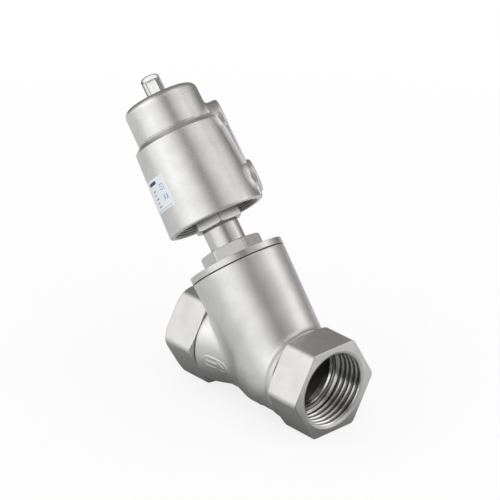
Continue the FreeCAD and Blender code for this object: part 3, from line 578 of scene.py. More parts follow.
class Surface:
    """Gathers patches of points and faces into one mesh object."""

    def __init__(self, name: str) -> None:
        """An empty surface.

        Args:
            name: The object's name.
        """
        self.name = name
        self.points: list[np.ndarray] = []
        self.faces: list[list[int]] = []
        self.uvs: list[np.ndarray] = []
        self.count = 0

    def add(self, points: np.ndarray, faces: np.ndarray, uv: np.ndarray | None = None) -> None:
        """Adds a patch.

        Args:
            points: Points (..., 3), in millimetres.
            faces: Numbers of the patch's points, a row for each face.
            uv: The points' places on the map (..., 2), or None.
        """
        flat = points.reshape(-1, 3)
        self.points.append(flat)
        self.faces.extend((faces + self.count).tolist())
        self.uvs.append(np.zeros((len(flat), 2)) if uv is None else uv.reshape(-1, 2))
        self.count += len(flat)

    def add_grid(
        self, grid: np.ndarray, wrapped: bool = True, flipped: bool = False,
        keep: np.ndarray | None = None, uv: np.ndarray | None = None,
    ) -> None:
        """Adds a grid of four-sided faces.

        Args:
            grid: Points (rows, columns, 3), in millimetres.
            wrapped: Whether the last column joins the first.
            flipped: Turns the faces round.
            keep: False at points whose faces are left out, or None.
            uv: The points' places on the map (rows, columns, 2), or None.
        """
        rows, columns = grid.shape[:2]
        faces = grid_faces(rows, columns, wrapped, flipped)
        if keep is not None:
            faces = faces[keep.reshape(-1)[faces].all(1)]
        self.add(grid, faces, uv)

    def build(self, sharp_angle: float = 35.0) -> bpy.types.Object:
        """Makes the object, merges doubles and drops loose points.

        Args:
            sharp_angle: Edges that bend more than this many degrees stay sharp.

        Returns:
            The object.
        """
        points = np.concatenate(self.points) * MM
        mesh = bpy.data.meshes.new(self.name)
        mesh.from_pydata(points.tolist(), [], self.faces)
        uv = mesh.uv_layers.new(name=MAP_NAME)
        corner_points = np.empty(len(mesh.loops), np.int32)
        mesh.loops.foreach_get("vertex_index", corner_points)
        uv.data.foreach_set("uv", np.concatenate(self.uvs)[corner_points].astype(np.float32).ravel())
        work = bmesh.new()
        work.from_mesh(mesh)
        bmesh.ops.remove_doubles(work, verts=work.verts, dist=MERGE_DISTANCE)
        loose = [v for v in work.verts if not v.link_faces]
        bmesh.ops.delete(work, geom=loose, context="VERTS")
        work.to_mesh(mesh)
        work.free()
        mesh.polygons.foreach_set("use_smooth", np.ones(len(mesh.polygons), bool))
        mesh.set_sharp_from_angle(angle=math.radians(sharp_angle))
        mesh.update()
        obj = bpy.data.objects.new(self.name, mesh)
        bpy.context.scene.collection.objects.link(obj)
        return obj


def node_triangles(node: bpy.types.Object) -> np.ndarray:
    """A node's triangles.

    Args:
        node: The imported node.

    Returns:
        Corners (n, 3, 3), in millimetres.
    """
    mesh = node.data
    mesh.calc_loop_triangles()
    corners = np.empty(len(mesh.loop_triangles) * 3, np.int32)
    mesh.loop_triangles.foreach_get("vertices", corners)
    points = np.empty(len(mesh.vertices) * 3, np.float32)
    mesh.vertices.foreach_get("co", points)
    return points.reshape(-1, 3)[corners].reshape(-1, 3, 3).astype(float) / MM


def copied_part(
    name: str, node: bpy.types.Object, chosen: Callable[[np.ndarray], np.ndarray],
) -> bpy.types.Object:
    """A copy of those of a node's triangles that a test on their corners picks.

    Args:
        name: The new object's name.
        node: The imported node.
        chosen: Takes corners (n, 3, 3) and gives True for the triangles to keep.

    Returns:
        The new object, its corners merged.
    """
    triangles = node_triangles(node)
    triangles = triangles[chosen(triangles)]
    surface = Surface(name)
    surface.add(triangles.reshape(-1, 3), np.arange(len(triangles) * 3).reshape(-1, 3))
    return surface.build(30.0)


# Shader groups

Colour = tuple[float, float, float]


def grey(level: float) -> tuple[float, float, float, float]:
    """A grey of one level."""
    return (level, level, level, 1.0)


def new_group(
    name: str, inputs: dict[str, tuple[str, object]], outputs: dict[str, str],
) -> tuple[bpy.types.NodeTree, NodeChain]:
    """A shader group with named inputs and outputs.

    Args:
        name: The group's name.
        inputs: Each input's type and value, by name.
        outputs: Each output's type, by name.

    Returns:
        The group and its node chain.
    """
    group = bpy.data.node_groups.new(name, "ShaderNodeTree")
    for label, (kind, value) in inputs.items():
        socket = group.interface.new_socket(label, in_out="INPUT", socket_type=kind)
        if value is not None:
            socket.default_value = value
    for label, kind in outputs.items():
        group.interface.new_socket(label, in_out="OUTPUT", socket_type=kind)
    group.nodes.new("NodeGroupInput").name = "In"
    group.nodes.new("NodeGroupOutput").name = "Out"
    return group, NodeChain(group)


class NodeChain:
    """Short ways to add and join nodes in one tree."""

    def __init__(self, tree: bpy.types.NodeTree) -> None:
        """Works in the given tree."""
        self.tree = tree

    def add(self, kind: str) -> bpy.types.Node:
        """A new shader node of a kind."""
        return self.tree.nodes.new("ShaderNode" + kind)

    def link(self, source: object, target: bpy.types.NodeSocket) -> None:
        """Joins an output to an input, or sets the input to a plain value.

        Args:
            source: A socket or a value.
            target: The input.
        """
        if isinstance(source, bpy.types.NodeSocket):
            self.tree.links.new(source, target)
        else:
            target.default_value = source

    def math(self, operation: str, a: object, b: object = 0.0, c: object = 0.0) -> bpy.types.NodeSocket:
        """A math node.

        Args:
            operation: What it works out.
            a: The first socket or value.
            b: The second.
            c: The third.

        Returns:
            Its value.
        """
        node = self.add("Math")
        node.operation = operation
        for value, socket in zip((a, b, c), node.inputs):
            self.link(value, socket)
        return node.outputs[0]

    def length(self, a: object, b: object) -> bpy.types.NodeSocket:
        """The length sqrt(a * a + b * b)."""
        return self.math("SQRT", self.math("ADD", self.math("POWER", a, 2.0), self.math("POWER", b, 2.0)))

    def dot(self, a: object, b: object) -> bpy.types.NodeSocket:
        """The dot product of two vectors.

        Args:
            a: The first socket or vector.
            b: The second.

        Returns:
            Its value.
        """
        node = self.add("VectorMath")
        node.operation = "DOT_PRODUCT"
        self.link(a, node.inputs[0])
        self.link(b, node.inputs[1])
        return node.outputs["Value"]

    def split(self, vector: object) -> Sequence[bpy.types.NodeSocket]:
        """A vector's three parts.

        Args:
            vector: The vector.

        Returns:
            The parts.
        """
        node = self.add("SeparateXYZ")
        self.link(vector, node.inputs[0])
        return node.outputs

    def noise(
        self, vector: object, scale: object, detail: float, roughness: float = 0.5,
    ) -> bpy.types.NodeSocket:
        """A noise texture.

        Args:
            vector: Where it is read.
            scale: Its scale.
            detail: Its octaves.
            roughness: How strong the finer octaves are.

        Returns:
            Its value.
        """
        node = self.add("TexNoise")
        self.link(vector, node.inputs["Vector"])
        self.link(scale, node.inputs["Scale"])
        node.inputs["Detail"].default_value = detail
        node.inputs["Roughness"].default_value = roughness
        return node.outputs["Fac"]

    def span(
        self, value: object, low: float, high: float, to_low: object = 0.0, to_high: object = 1.0,
    ) -> bpy.types.NodeSocket:
        """A value mapped smoothly from one span to another and held at its ends.

        Args:
            value: The value.
            low: Where the first span starts.
            high: Where it ends.
            to_low: What low becomes.
            to_high: What high becomes.

        Returns:
            The mapped value.
        """
        node = self.add("MapRange")
        node.interpolation_type = "SMOOTHSTEP"
        self.link(value, node.inputs["Value"])
        node.inputs["From Min"].default_value = low
        node.inputs["From Max"].default_value = high
        self.link(to_low, node.inputs["To Min"])
        self.link(to_high, node.inputs["To Max"])
        return node.outputs["Result"]

    def mix(self, share: object, a: object, b: object) -> bpy.types.NodeSocket:
        """A colour between two.

        Args:
            share: How much of the second colour.
            a: The first colour.
            b: The second colour.

        Returns:
            The mixed colour.
        """
        node = self.add("Mix")
        node.data_type = "RGBA"
        self.link(share, node.inputs["Factor"])
        self.link(a, node.inputs["A"])
        self.link(b, node.inputs["B"])
        return next(o for o in node.outputs if o.type == "RGBA")

    def group(self, tree: bpy.types.NodeTree, **values: object) -> Sequence[bpy.types.NodeSocket]:
        """A group node.

        Args:
            tree: The shader group.
            **values: Its inputs' sockets or values, by name with _ for each space.

        Returns:
            Its outputs.
        """
        node = self.add("Group")
        node.node_tree = tree
        for label, value in values.items():
            self.link(value, node.inputs[label.replace("_", " ")])
        return node.outputs

    def bump(self, height: object, shader: bpy.types.Node, normal: object = None) -> None:
        """Gives a shader a bumpy skin.

        Args:
            height: The skin's height, in millimetres.
            shader: The main shader.
            normal: The normal that is bent, or None for the plain one.
        """
        node = self.add("Bump")
        node.inputs["Strength"].default_value = 1.0
        node.inputs["Distance"].default_value = MM
        self.link(height, node.inputs["Height"])
        if normal is not None:
            self.link(normal, node.inputs["Normal"])
        self.link(node.outputs[0], shader.inputs["Normal"])


class ShaderKit:
    """The effects that several finishes share, each built once."""

    def __init__(self) -> None:
        """Builds the groups."""
        self.grain = self._grain()
        self.lines = self._lines()
        self.edges = self._edges()

    def _grain(self) -> bpy.types.NodeTree:
        """Fine blasted speckle over broad soft mottles; heights are in millimetres.

        Returns:
            The group.
        """
        group, chain = new_group(
            "Blasted grain",
            {"Vector": ("NodeSocketVector", None), "Grain Scale": ("NodeSocketFloat", 2600.0),
             "Mottle Scale": ("NodeSocketFloat", 90.0)},
            {"Height": "NodeSocketFloat", "Mottle": "NodeSocketFloat", "Speckle": "NodeSocketFloat"},
        )
        inputs, out = group.nodes["In"].outputs, group.nodes["Out"].inputs
        fine = chain.noise(inputs["Vector"], inputs["Grain Scale"], 3.0, 0.6)
        broad = chain.noise(inputs["Vector"], inputs["Mottle Scale"], 4.0, 0.55)
        pits = chain.noise(inputs["Vector"], chain.math("MULTIPLY", inputs["Grain Scale"], 0.35), 2.0, 0.5)
        height = chain.math("MULTIPLY_ADD", pits, 0.6, chain.math("MULTIPLY", fine, 0.5))
        chain.link(height, out["Height"])
        chain.link(chain.span(broad, 0.3, 0.7), out["Mottle"])
        chain.link(chain.span(fine, 0.3, 0.7), out["Speckle"])
        return group

    def _lines(self) -> bpy.types.NodeTree:
        """Tool lines about an axis: noise squeezed along height and distance from the axis.

        Its vector has the axis as its Z, so the lines follow the turning.

        Returns:
            The group.
        """
        along_lines = 0.0006
        group, chain = new_group(
            "Tool lines",
            {"Vector": ("NodeSocketVector", None), "Line Scale": ("NodeSocketFloat", 3000.0)},
            {"Height": "NodeSocketFloat"},
        )
        inputs, out = group.nodes["In"].outputs, group.nodes["Out"].inputs
        x, y, z = chain.split(inputs["Vector"])
        place = chain.add("CombineXYZ")
        chain.link(chain.length(x, y), place.inputs[0])
        chain.link(z, place.inputs[1])
        chain.link(chain.math("MULTIPLY", chain.math("ARCTAN2", y, x), along_lines), place.inputs[2])
        chain.link(chain.noise(place.outputs[0], inputs["Line Scale"], 3.0, 0.55), out["Height"])
        return group

    def _edges(self) -> bpy.types.NodeTree:
        """Edges made bright, partly as rubbed wear and partly as painted highlight: how far the rounded
        normal leans from the plain one.

        Returns:
            The group.
        """
        group, chain = new_group(
            "Edge rounding",
            {"Radius": ("NodeSocketFloat", 0.0006)},
            {"Normal": "NodeSocketVector", "Edge": "NodeSocketFloat"},
        )
        inputs, out = group.nodes["In"].outputs, group.nodes["Out"].inputs
        bevel = chain.add("Bevel")
        bevel.samples = 6
        chain.link(inputs["Radius"], bevel.inputs["Radius"])
        plain = chain.add("NewGeometry")
        chain.link(bevel.outputs[0], out["Normal"])
        chain.link(chain.span(chain.dot(bevel.outputs[0], plain.outputs["Normal"]), 0.97, 0.75), out["Edge"])
        return group


# Finishes


def axis_vector(chain: NodeChain, frame: AxisFrame | None) -> bpy.types.NodeSocket:
    """Object coordinates, turned so that a frame's axis is their Z.

    Args:
        chain: The material's node chain.
        frame: The frame, or None for the plain coordinates.

    Returns:
        The coordinates.
    """
    place = chain.add("TexCoord")
    if frame is None:
        return place.outputs["Object"]
    mapping = chain.add("Mapping")
    mapping.vector_type = "TEXTURE"
    chain.link(place.outputs["Object"], mapping.inputs["Vector"])
    mapping.inputs["Location"].default_value = [c * MM for c in frame.origin]
    mapping.inputs["Rotation"].default_value = Matrix(frame.basis().T.tolist()).to_euler()
    return mapping.outputs["Vector"]


def new_material(name: str) -> tuple[bpy.types.Material, NodeChain, bpy.types.Node]:
    """A new material that works with nodes.

    Args:
        name: The material's name.

    Returns:
        The material, its node chain and its main shader.
    """
    material = bpy.data.materials.new(name)
    material.use_nodes = True
    return material, NodeChain(material.node_tree), material.node_tree.nodes["Principled BSDF"]


@dataclass(frozen=True)
class SteelFinish:
    """Stainless steel, blasted or turned, with edges lightened as rubbed wear and painted highlight.

    Where the span is given, painted shade darkens the thread roots: the tone falls to a dark one between its
    two distances from the axis.
    """

    light: Colour
    dark: Colour
    roughness: float
    grain_height: float
    line_height: float
    edge_radius: float
    frame: AxisFrame | None = None
    grain_scale: float = 2600.0
    # painted shade in the thread roots: span of distances from the axis, share and dark tone
    root_shade_span: tuple[float, float] | None = None
    root_shade_share: float = 0.9
    root_shade_tone: Colour = (0.10, 0.10, 0.095)
    gloss_spread: tuple[float, float] = (-0.04, 0.05)
    # edge lightening: partly rubbed wear, partly painted highlight
    edge_wear_highlight_share: float = 0.5
    edge_wear_highlight_tone: Colour = (0.93, 0.92, 0.90)
    worn_gloss: float = 0.12

    def build(self, name: str, kit: ShaderKit) -> bpy.types.Material:
        """The material: mottled tone, speckled gloss, grain and tool lines over rounded edges, which are
        lightened as rubbed wear and painted highlight.

        Args:
            name: The material's name.
            kit: The shared groups.

        Returns:
            The material.
        """
        material, chain, shader = new_material(name)
        vector = axis_vector(chain, self.frame)
        grain = chain.group(kit.grain, Vector=vector, Grain_Scale=self.grain_scale)
        edge = chain.group(kit.edges, Radius=self.edge_radius)
        lines = chain.group(kit.lines, Vector=vector)
        tone = chain.mix(grain["Mottle"], (*self.dark, 1.0), (*self.light, 1.0))
        # painted shade in the thread roots, darker between two distances from the axis
        if self.root_shade_span is not None:
            x, y, _ = chain.split(vector)
            start, end = self.root_shade_span[0] * MM, self.root_shade_span[1] * MM
            deep = chain.span(chain.length(x, y), start, end, 0.0, self.root_shade_share)
            tone = chain.mix(deep, tone, (*self.root_shade_tone, 1.0))
        # edges lightened: partly rubbed wear, partly painted highlight
        edge_wear_highlight = chain.math("MULTIPLY", edge["Edge"], self.edge_wear_highlight_share)
        chain.link(chain.mix(edge_wear_highlight, tone, (*self.edge_wear_highlight_tone, 1.0)), shader.inputs["Base Color"])
        finest, coarsest = (self.roughness + spread for spread in self.gloss_spread)
        gloss = chain.span(grain["Speckle"], 0.0, 1.0, finest, coarsest)
        gloss = chain.math("SUBTRACT", gloss, chain.math("MULTIPLY", edge_wear_highlight, self.worn_gloss))
        chain.link(gloss, shader.inputs["Roughness"])
        shader.inputs["Metallic"].default_value = 1.0
        height = chain.math("MULTIPLY", grain["Height"], self.grain_height)
        height = chain.math("MULTIPLY_ADD", lines["Height"], self.line_height, height)
        chain.bump(height, shader, edge["Normal"])
        return material


@dataclass(frozen=True)
class SolidFinish:
    """Rubber, sealing plastic, bronze and other plain finishes with grain."""

    light: Colour
    dark: Colour
    roughness: float
    metallic: float = 0.0
    grain_height: float = 0.01
    grain_scale: float = 1800.0
    gloss_spread: float = 0.06

    def build(self, name: str, kit: ShaderKit) -> bpy.types.Material:
        """The material: two tones of mottle, uneven gloss and fine grain.

        Args:
            name: The material's name.
            kit: The shared groups.

        Returns:
            The material.
        """
        material, chain, shader = new_material(name)
        grain = chain.group(kit.grain, Vector=axis_vector(chain, None), Grain_Scale=self.grain_scale)
        tone = chain.mix(grain["Mottle"], (*self.dark, 1.0), (*self.light, 1.0))
        chain.link(tone, shader.inputs["Base Color"])
        finest, coarsest = self.roughness - self.gloss_spread, self.roughness + self.gloss_spread
        chain.link(chain.span(grain["Speckle"], 0.0, 1.0, finest, coarsest), shader.inputs["Roughness"])
        shader.inputs["Metallic"].default_value = self.metallic
        chain.bump(chain.math("MULTIPLY", grain["Height"], self.grain_height), shader)
        return material


@dataclass(frozen=True)
class ClearFinish:
    """Clear hard plastic with faint moulding waves and painted shade where its walls are seen edge-on."""

    clear: Colour = (0.95, 0.95, 0.94)
    edge_on_shade_tone: Colour = (0.12, 0.12, 0.12)
    edge_on_shade_span: tuple[float, float] = (0.18, 0.58)
    refraction: float = 1.49
    gloss: tuple[float, float] = (0.02, 0.07)
    wave_height: float = 0.03
    wave_scale: float = 900.0

    def build(self, name: str, kit: ShaderKit) -> bpy.types.Material:
        """The material: full transmission, slight haze, waves in the skin and painted shade where it is seen
        edge-on.

        Args:
            name: The material's name.
            kit: The shared groups.

        Returns:
            The material.
        """
        material, chain, shader = new_material(name)
        grain = chain.group(kit.grain, Vector=axis_vector(chain, None), Grain_Scale=self.wave_scale)
        # painted shade: the colour darkens where the skin is seen edge-on
        rim = chain.add("LayerWeight")
        rim.inputs["Blend"].default_value = 0.5
        share = chain.span(rim.outputs["Facing"], *self.edge_on_shade_span)
        chain.link(chain.mix(share, (*self.clear, 1.0), (*self.edge_on_shade_tone, 1.0)), shader.inputs["Base Color"])
        shader.inputs["Transmission Weight"].default_value = 1.0
        shader.inputs["IOR"].default_value = self.refraction
        chain.link(chain.span(grain["Mottle"], 0.0, 1.0, *self.gloss), shader.inputs["Roughness"])
        chain.bump(chain.math("MULTIPLY", grain["Mottle"], self.wave_height), shader)
        return material


@dataclass(frozen=True)
class PrintedFinish:
    """White foil with a generic print of bars and plain shapes, placed by the label's own map.

    A shape is a rectangle on the map: left, right, bottom and top, as shares of the label.
    """

    row_places: tuple[float, ...] = (0.62, 0.50, 0.38, 0.26, 0.14)
    short_rows: tuple[float, ...] = (0.08, 0.05, 0.09, 0.06, 0.08)
    short_start: float = 0.66
    short_height: float = 0.04
    long_rows: tuple[float, ...] = (0.44, 0.38, 0.46, 0.40, 0.43)
    long_start: float = 0.06
    long_height: float = 0.035
    title: tuple[float, ...] = (0.62, 0.81, 0.82, 0.92)
    frame: tuple[float, ...] = (0.85, 0.93, 0.56, 0.76)
    frame_hole: tuple[float, ...] = (0.862, 0.918, 0.60, 0.72)
    blue_shapes: tuple[tuple[float, ...], ...] = (
        (0.88, 0.90, 0.64, 0.68), (0.86, 0.89, 0.26, 0.42), (0.91, 0.94, 0.26, 0.42),
        (0.04, 0.96, 0.045, 0.065))
    paper: tuple[Colour, Colour] = ((0.90, 0.93, 0.97), (0.95, 0.97, 1.0))
    mottle_scale: float = 40.0
    grain_scale: float = 1200.0
    grey_ink: Colour = (0.30, 0.32, 0.36)
    blue_ink: Colour = (0.35, 0.58, 0.80)
    dark_ink: Colour = (0.02, 0.04, 0.10)
    gloss: tuple[float, float] = (0.34, 0.46)

    @staticmethod
    def bar(chain: NodeChain, shape: Sequence[float], places: Sequence[object]) -> bpy.types.NodeSocket:
        """A rectangle's mask.

        Args:
            chain: The material's node chain.
            shape: Left, right, bottom and top.
            places: The map's two coordinates.

        Returns:
            1 inside and 0 outside.
        """
        sides = []
        for place, low, high in zip(places, shape[::2], shape[1::2]):
            sides.append(chain.math("MULTIPLY", chain.math("GREATER_THAN", place, low),
                                    chain.math("LESS_THAN", place, high)))
        return chain.math("MULTIPLY", *sides)

    def rows(self, start: float, widths: Sequence[float], height: float) -> list[tuple[float, ...]]:
        """A column of bars, one at each row's place."""
        return [(start, start + width, low, low + height) for width, low in zip(widths, self.row_places)]

    def build(self, name: str, kit: ShaderKit) -> bpy.types.Material:
        """The material: inks over white, each through its shapes' masks.

        Args:
            name: The material's name.
            kit: The shared groups.

        Returns:
            The material.
        """
        material, chain, shader = new_material(name)
        place = chain.add("UVMap")
        place.uv_map = MAP_NAME
        places = tuple(chain.split(place.outputs[0]))[:2]

        def printed(shapes: Sequence[Sequence[float]], first: object = 0.0) -> bpy.types.NodeSocket:
            """The greatest of several rectangles' masks and a first one.

            Args:
                shapes: The rectangles.
                first: The first mask.

            Returns:
                The mask.
            """
            total = first
            for shape in shapes:
                total = chain.math("MAXIMUM", total, self.bar(chain, shape, places))
            return total

        rows = self.rows(self.short_start, self.short_rows, self.short_height)
        rows += self.rows(self.long_start, self.long_rows, self.long_height)
        outer, hole = self.bar(chain, self.frame, places), self.bar(chain, self.frame_hole, places)
        mottle = chain.noise(place.outputs[0], self.mottle_scale, 3.0)
        paper = chain.mix(mottle, (*self.paper[0], 1.0), (*self.paper[1], 1.0))
        tone = chain.mix(printed(rows), paper, (*self.grey_ink, 1.0))
        blue = printed(self.blue_shapes, chain.math("SUBTRACT", outer, hole))
        tone = chain.mix(blue, tone, (*self.blue_ink, 1.0))
        tone = chain.mix(printed([self.title]), tone, (*self.dark_ink, 1.0))
        chain.link(tone, shader.inputs["Base Color"])
        grain = chain.group(kit.grain, Vector=axis_vector(chain, None), Grain_Scale=self.grain_scale)
        chain.link(chain.span(grain["Mottle"], 0.0, 1.0, *self.gloss), shader.inputs["Roughness"])
        return material


AnyFinish = SteelFinish | SolidFinish | ClearFinish | PrintedFinish


@dataclass
class FinishShelf:
    """All materials, made once and handed out by look."""

    kit: ShaderKit = field(default_factory=ShaderKit)
    made: dict[Look, bpy.types.Material] = field(default_factory=dict)

    def get(self, look: Look) -> bpy.types.Material:
        """The material of a look, made when it is first asked for.

        Args:
            look: The look.

        Returns:
            The material.
        """
        if look not in self.made:
            self.made[look] = self.recipes()[look].build(look.value, self.kit)
        return self.made[look]

    @staticmethod
    def recipes() -> dict[Look, AnyFinish]:
        """Every look's finish.

        Returns:
            The finishes by look.
        """
        cast = {"light": (0.85, 0.847, 0.84), "dark": (0.77, 0.767, 0.76)}
        turned = {"light": (0.80, 0.797, 0.79), "dark": (0.73, 0.727, 0.72)}
        # inner walls: a darker copy of the steel, painted shade in the passages
        inner = {"light": (0.46, 0.455, 0.44), "dark": (0.34, 0.335, 0.32)}
        cut = {"light": (0.95, 0.947, 0.94), "dark": (0.90, 0.897, 0.89)}
        worked = {"light": (0.60, 0.60, 0.59), "dark": (0.50, 0.50, 0.49)}
        drawn = {"light": (0.62, 0.62, 0.63), "dark": (0.52, 0.52, 0.53)}
        return {
            Look.CAST_BODY: SteelFinish(
                **cast, roughness=0.36, grain_height=0.018, line_height=0.0, edge_radius=0.0007),
            Look.CAST_HEAD: SteelFinish(
                **cast, roughness=0.31, grain_height=0.008, line_height=0.012, edge_radius=0.0006,
                frame=STEM_AXIS, grain_scale=2000.0),
            Look.SHADED_INNER_WALL: SteelFinish(
                **inner, roughness=0.42, grain_height=0.012, line_height=0.010, edge_radius=0.0004,
                frame=STEM_AXIS),
            Look.TURNED: SteelFinish(
                **turned, roughness=0.27, grain_height=0.003, line_height=0.008, edge_radius=0.0004,
                frame=STEM_AXIS),
            Look.MILLED: SteelFinish(
                **turned, roughness=0.30, grain_height=0.004, line_height=0.0, edge_radius=0.0003),
            # the port thread's roots get painted shade
            Look.PORT_THREAD: SteelFinish(
                **cut, roughness=0.15, grain_height=0.002, line_height=0.006, edge_radius=0.0002,
                frame=PIPE, root_shade_span=(22.75, 23.5)),
            # the mouth thread's roots get painted shade
            Look.MOUTH_THREAD: SteelFinish(
                **worked, roughness=0.28, grain_height=0.002, line_height=0.0, edge_radius=0.0002,
                frame=STEM_AXIS, root_shade_span=(25.75, 26.15)),
            Look.SPRING: SteelFinish(
                **drawn, roughness=0.25, grain_height=0.002, line_height=0.0, edge_radius=0.0002),
            Look.BEARING: SolidFinish((0.34, 0.33, 0.32), (0.28, 0.27, 0.26), 0.5),
            Look.SEAL_PLASTIC: SolidFinish((0.86, 0.85, 0.82), (0.80, 0.79, 0.75), 0.42),
            Look.GASKET: SolidFinish((0.07, 0.07, 0.07), (0.04, 0.04, 0.04), 0.62),
            Look.RUBBER: SolidFinish((0.035, 0.035, 0.035), (0.02, 0.02, 0.02), 0.55),
            Look.BRONZE: SolidFinish((0.60, 0.42, 0.20), (0.50, 0.34, 0.15), 0.30, 1.0),
            Look.PISTON: SolidFinish((0.74, 0.74, 0.75), (0.66, 0.66, 0.67), 0.35, 1.0, 0.006),
            Look.DOME: ClearFinish(),
            Look.INDICATOR: SolidFinish((0.62, 0.05, 0.03), (0.52, 0.03, 0.02), 0.28),
            Look.LABEL: PrintedFinish(),
        }


@dataclass
class Workshop:
    """What every sub-assembly needs: the frame's nodes and the finishes."""

    nodes: dict[str, bpy.types.Object]
    finishes: FinishShelf

    def place(
        self, piece: bpy.types.Object, body: Body, slot: Slot, look: Look, replaced: Sequence[str] = (),
    ) -> None:
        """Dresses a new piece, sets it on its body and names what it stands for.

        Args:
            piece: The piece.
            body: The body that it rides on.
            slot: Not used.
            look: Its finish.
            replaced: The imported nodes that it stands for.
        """
        piece.data.materials.clear()
        piece.data.materials.append(self.finishes.get(look))
        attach(piece, body.value)
        if replaced:
            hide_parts(*replaced)
        LOG.info("piece %s on %s, %d faces", piece.name, body.value, len(piece.data.polygons))

    def dress(self, node: str, look: Look) -> None:
        """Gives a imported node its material.

        Args:
            node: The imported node's name.
            look: Its finish.
        """
        mesh = self.nodes[node].data
        mesh.materials.clear()
        mesh.materials.append(self.finishes.get(look))


# The valve body


@dataclass
class PortSizes:
    """One threaded hexagon port, its depths counted from its face inwards."""

    flats: float = 54.6
    length: float = 24.4
    corner_rounding: float = 4.0
    inlet_end_cut: tuple[float, float] = (2.2, 3.4)
    outlet_end_cut: tuple[float, float] = (0.5, 0.5)
    back_cut: tuple[float, float] = (1.6, 3.4)
    back_radius: float = 25.0
    edge: float = 0.5
    mouth_radius: float = 24.05
    mouth_depth: float = 1.0
    mouth_edge: float = 0.1
    mouth_rim: float = 0.15
    wall_radius: float = 22.42
    thread_depth: float = 1.48
    thread_pitch: float = 3.7
    thread_length: float = 20.0
    thread_run_in: float = 0.5
    thread_run_out: float = 0.8
    root_share: float = 0.10
    flank_share: float = 0.74
    roundness: float = 0.3
    bore_radius: float = 20.4
    bore_ridge: float = 1.1
    bore_thread_end: float = 24.8
    bore_band_end: float = 28.2


@dataclass
class ArrowPlate:
    """The raised oval plate with a flow arrow on the collar's slope, on its own flat coordinates."""

    place: float = 40.6
    turn: float = -170.2
    tilt: float = 0.12
    pipe_radius: float = 25.0
    half_straight: float = 5.2
    end_radius: float = 3.7
    shaft_ends: tuple[float, float] = (-6.6, 1.2)
    shaft_half_width: float = 0.7
    arrow_tip: float = 6.4
    arrow_foot: float = 0.6
    arrow_slope: float = 0.50
    plate_height: float = 0.10
    rim_height: float = 0.24
    arrow_height: float = 0.30
    skirt_depth: float = 0.30
    edge_width: float = 1.2
    dish_inset: float = 1.0
    dish_width: float = 0.9
    arrow_width: float = 0.8
    skirt_start: float = 0.9
    skirt_width: float = 0.6
    kept_reach: float = 0.85
    grid_reach: tuple[float, float] = (10.5, 5.5)
    grid_counts: tuple[int, int] = (211, 111)

    def build(self, pipe: LatheSolid) -> bpy.types.Object:
        """Height over the pipe = a soft plateau inside the oval, a rim round its edge, and the arrow.

        Each is a smooth step of a distance on the flat coordinates. Outside the oval the sheet
        sinks into the pipe.

        Args:
            pipe: The pipe's skin.

        Returns:
            The object.
        """

        def step(value: np.ndarray, width: float) -> np.ndarray:
            """A smooth step from 1 inside, where the value is below 0, to 0 outside."""
            return smooth_rise(0.5 - value / width)

        lines = [np.linspace(-reach, reach, count) for reach, count in zip(self.grid_reach, self.grid_counts)]
        along, across = np.meshgrid(*lines, indexing="ij")
        straight = np.clip(along, -self.half_straight, self.half_straight)
        oval = np.hypot(along - straight, across) - self.end_radius
        shaft = np.maximum(self.shaft_ends[0] - along, along - self.shaft_ends[1])
        shaft = np.maximum(np.abs(across) - self.shaft_half_width, shaft)
        head = np.abs(across) + (along - self.arrow_tip) * self.arrow_slope
        arrow = np.minimum(shaft, np.maximum(head, self.arrow_foot - along))
        plateau = step(oval, self.edge_width)
        rim = plateau - step(oval + self.dish_inset, self.dish_width)
        height = self.plate_height * plateau + self.rim_height * rim
        height = height + self.arrow_height * step(arrow, self.arrow_width)
        height = height - self.skirt_depth * (1 - step(oval - self.skirt_start, self.skirt_width))
        place = self.place + along - across * self.tilt
        turn = math.radians(self.turn) + (across + along * self.tilt) / self.pipe_radius
        grid = PIPE.ring_points(pipe.radius_at(place) + height, turn, place)
        surface = Surface("flow_arrow_plate")
        surface.add_grid(grid, wrapped=False, keep=oval < self.kept_reach)
        return surface.build(60.0)


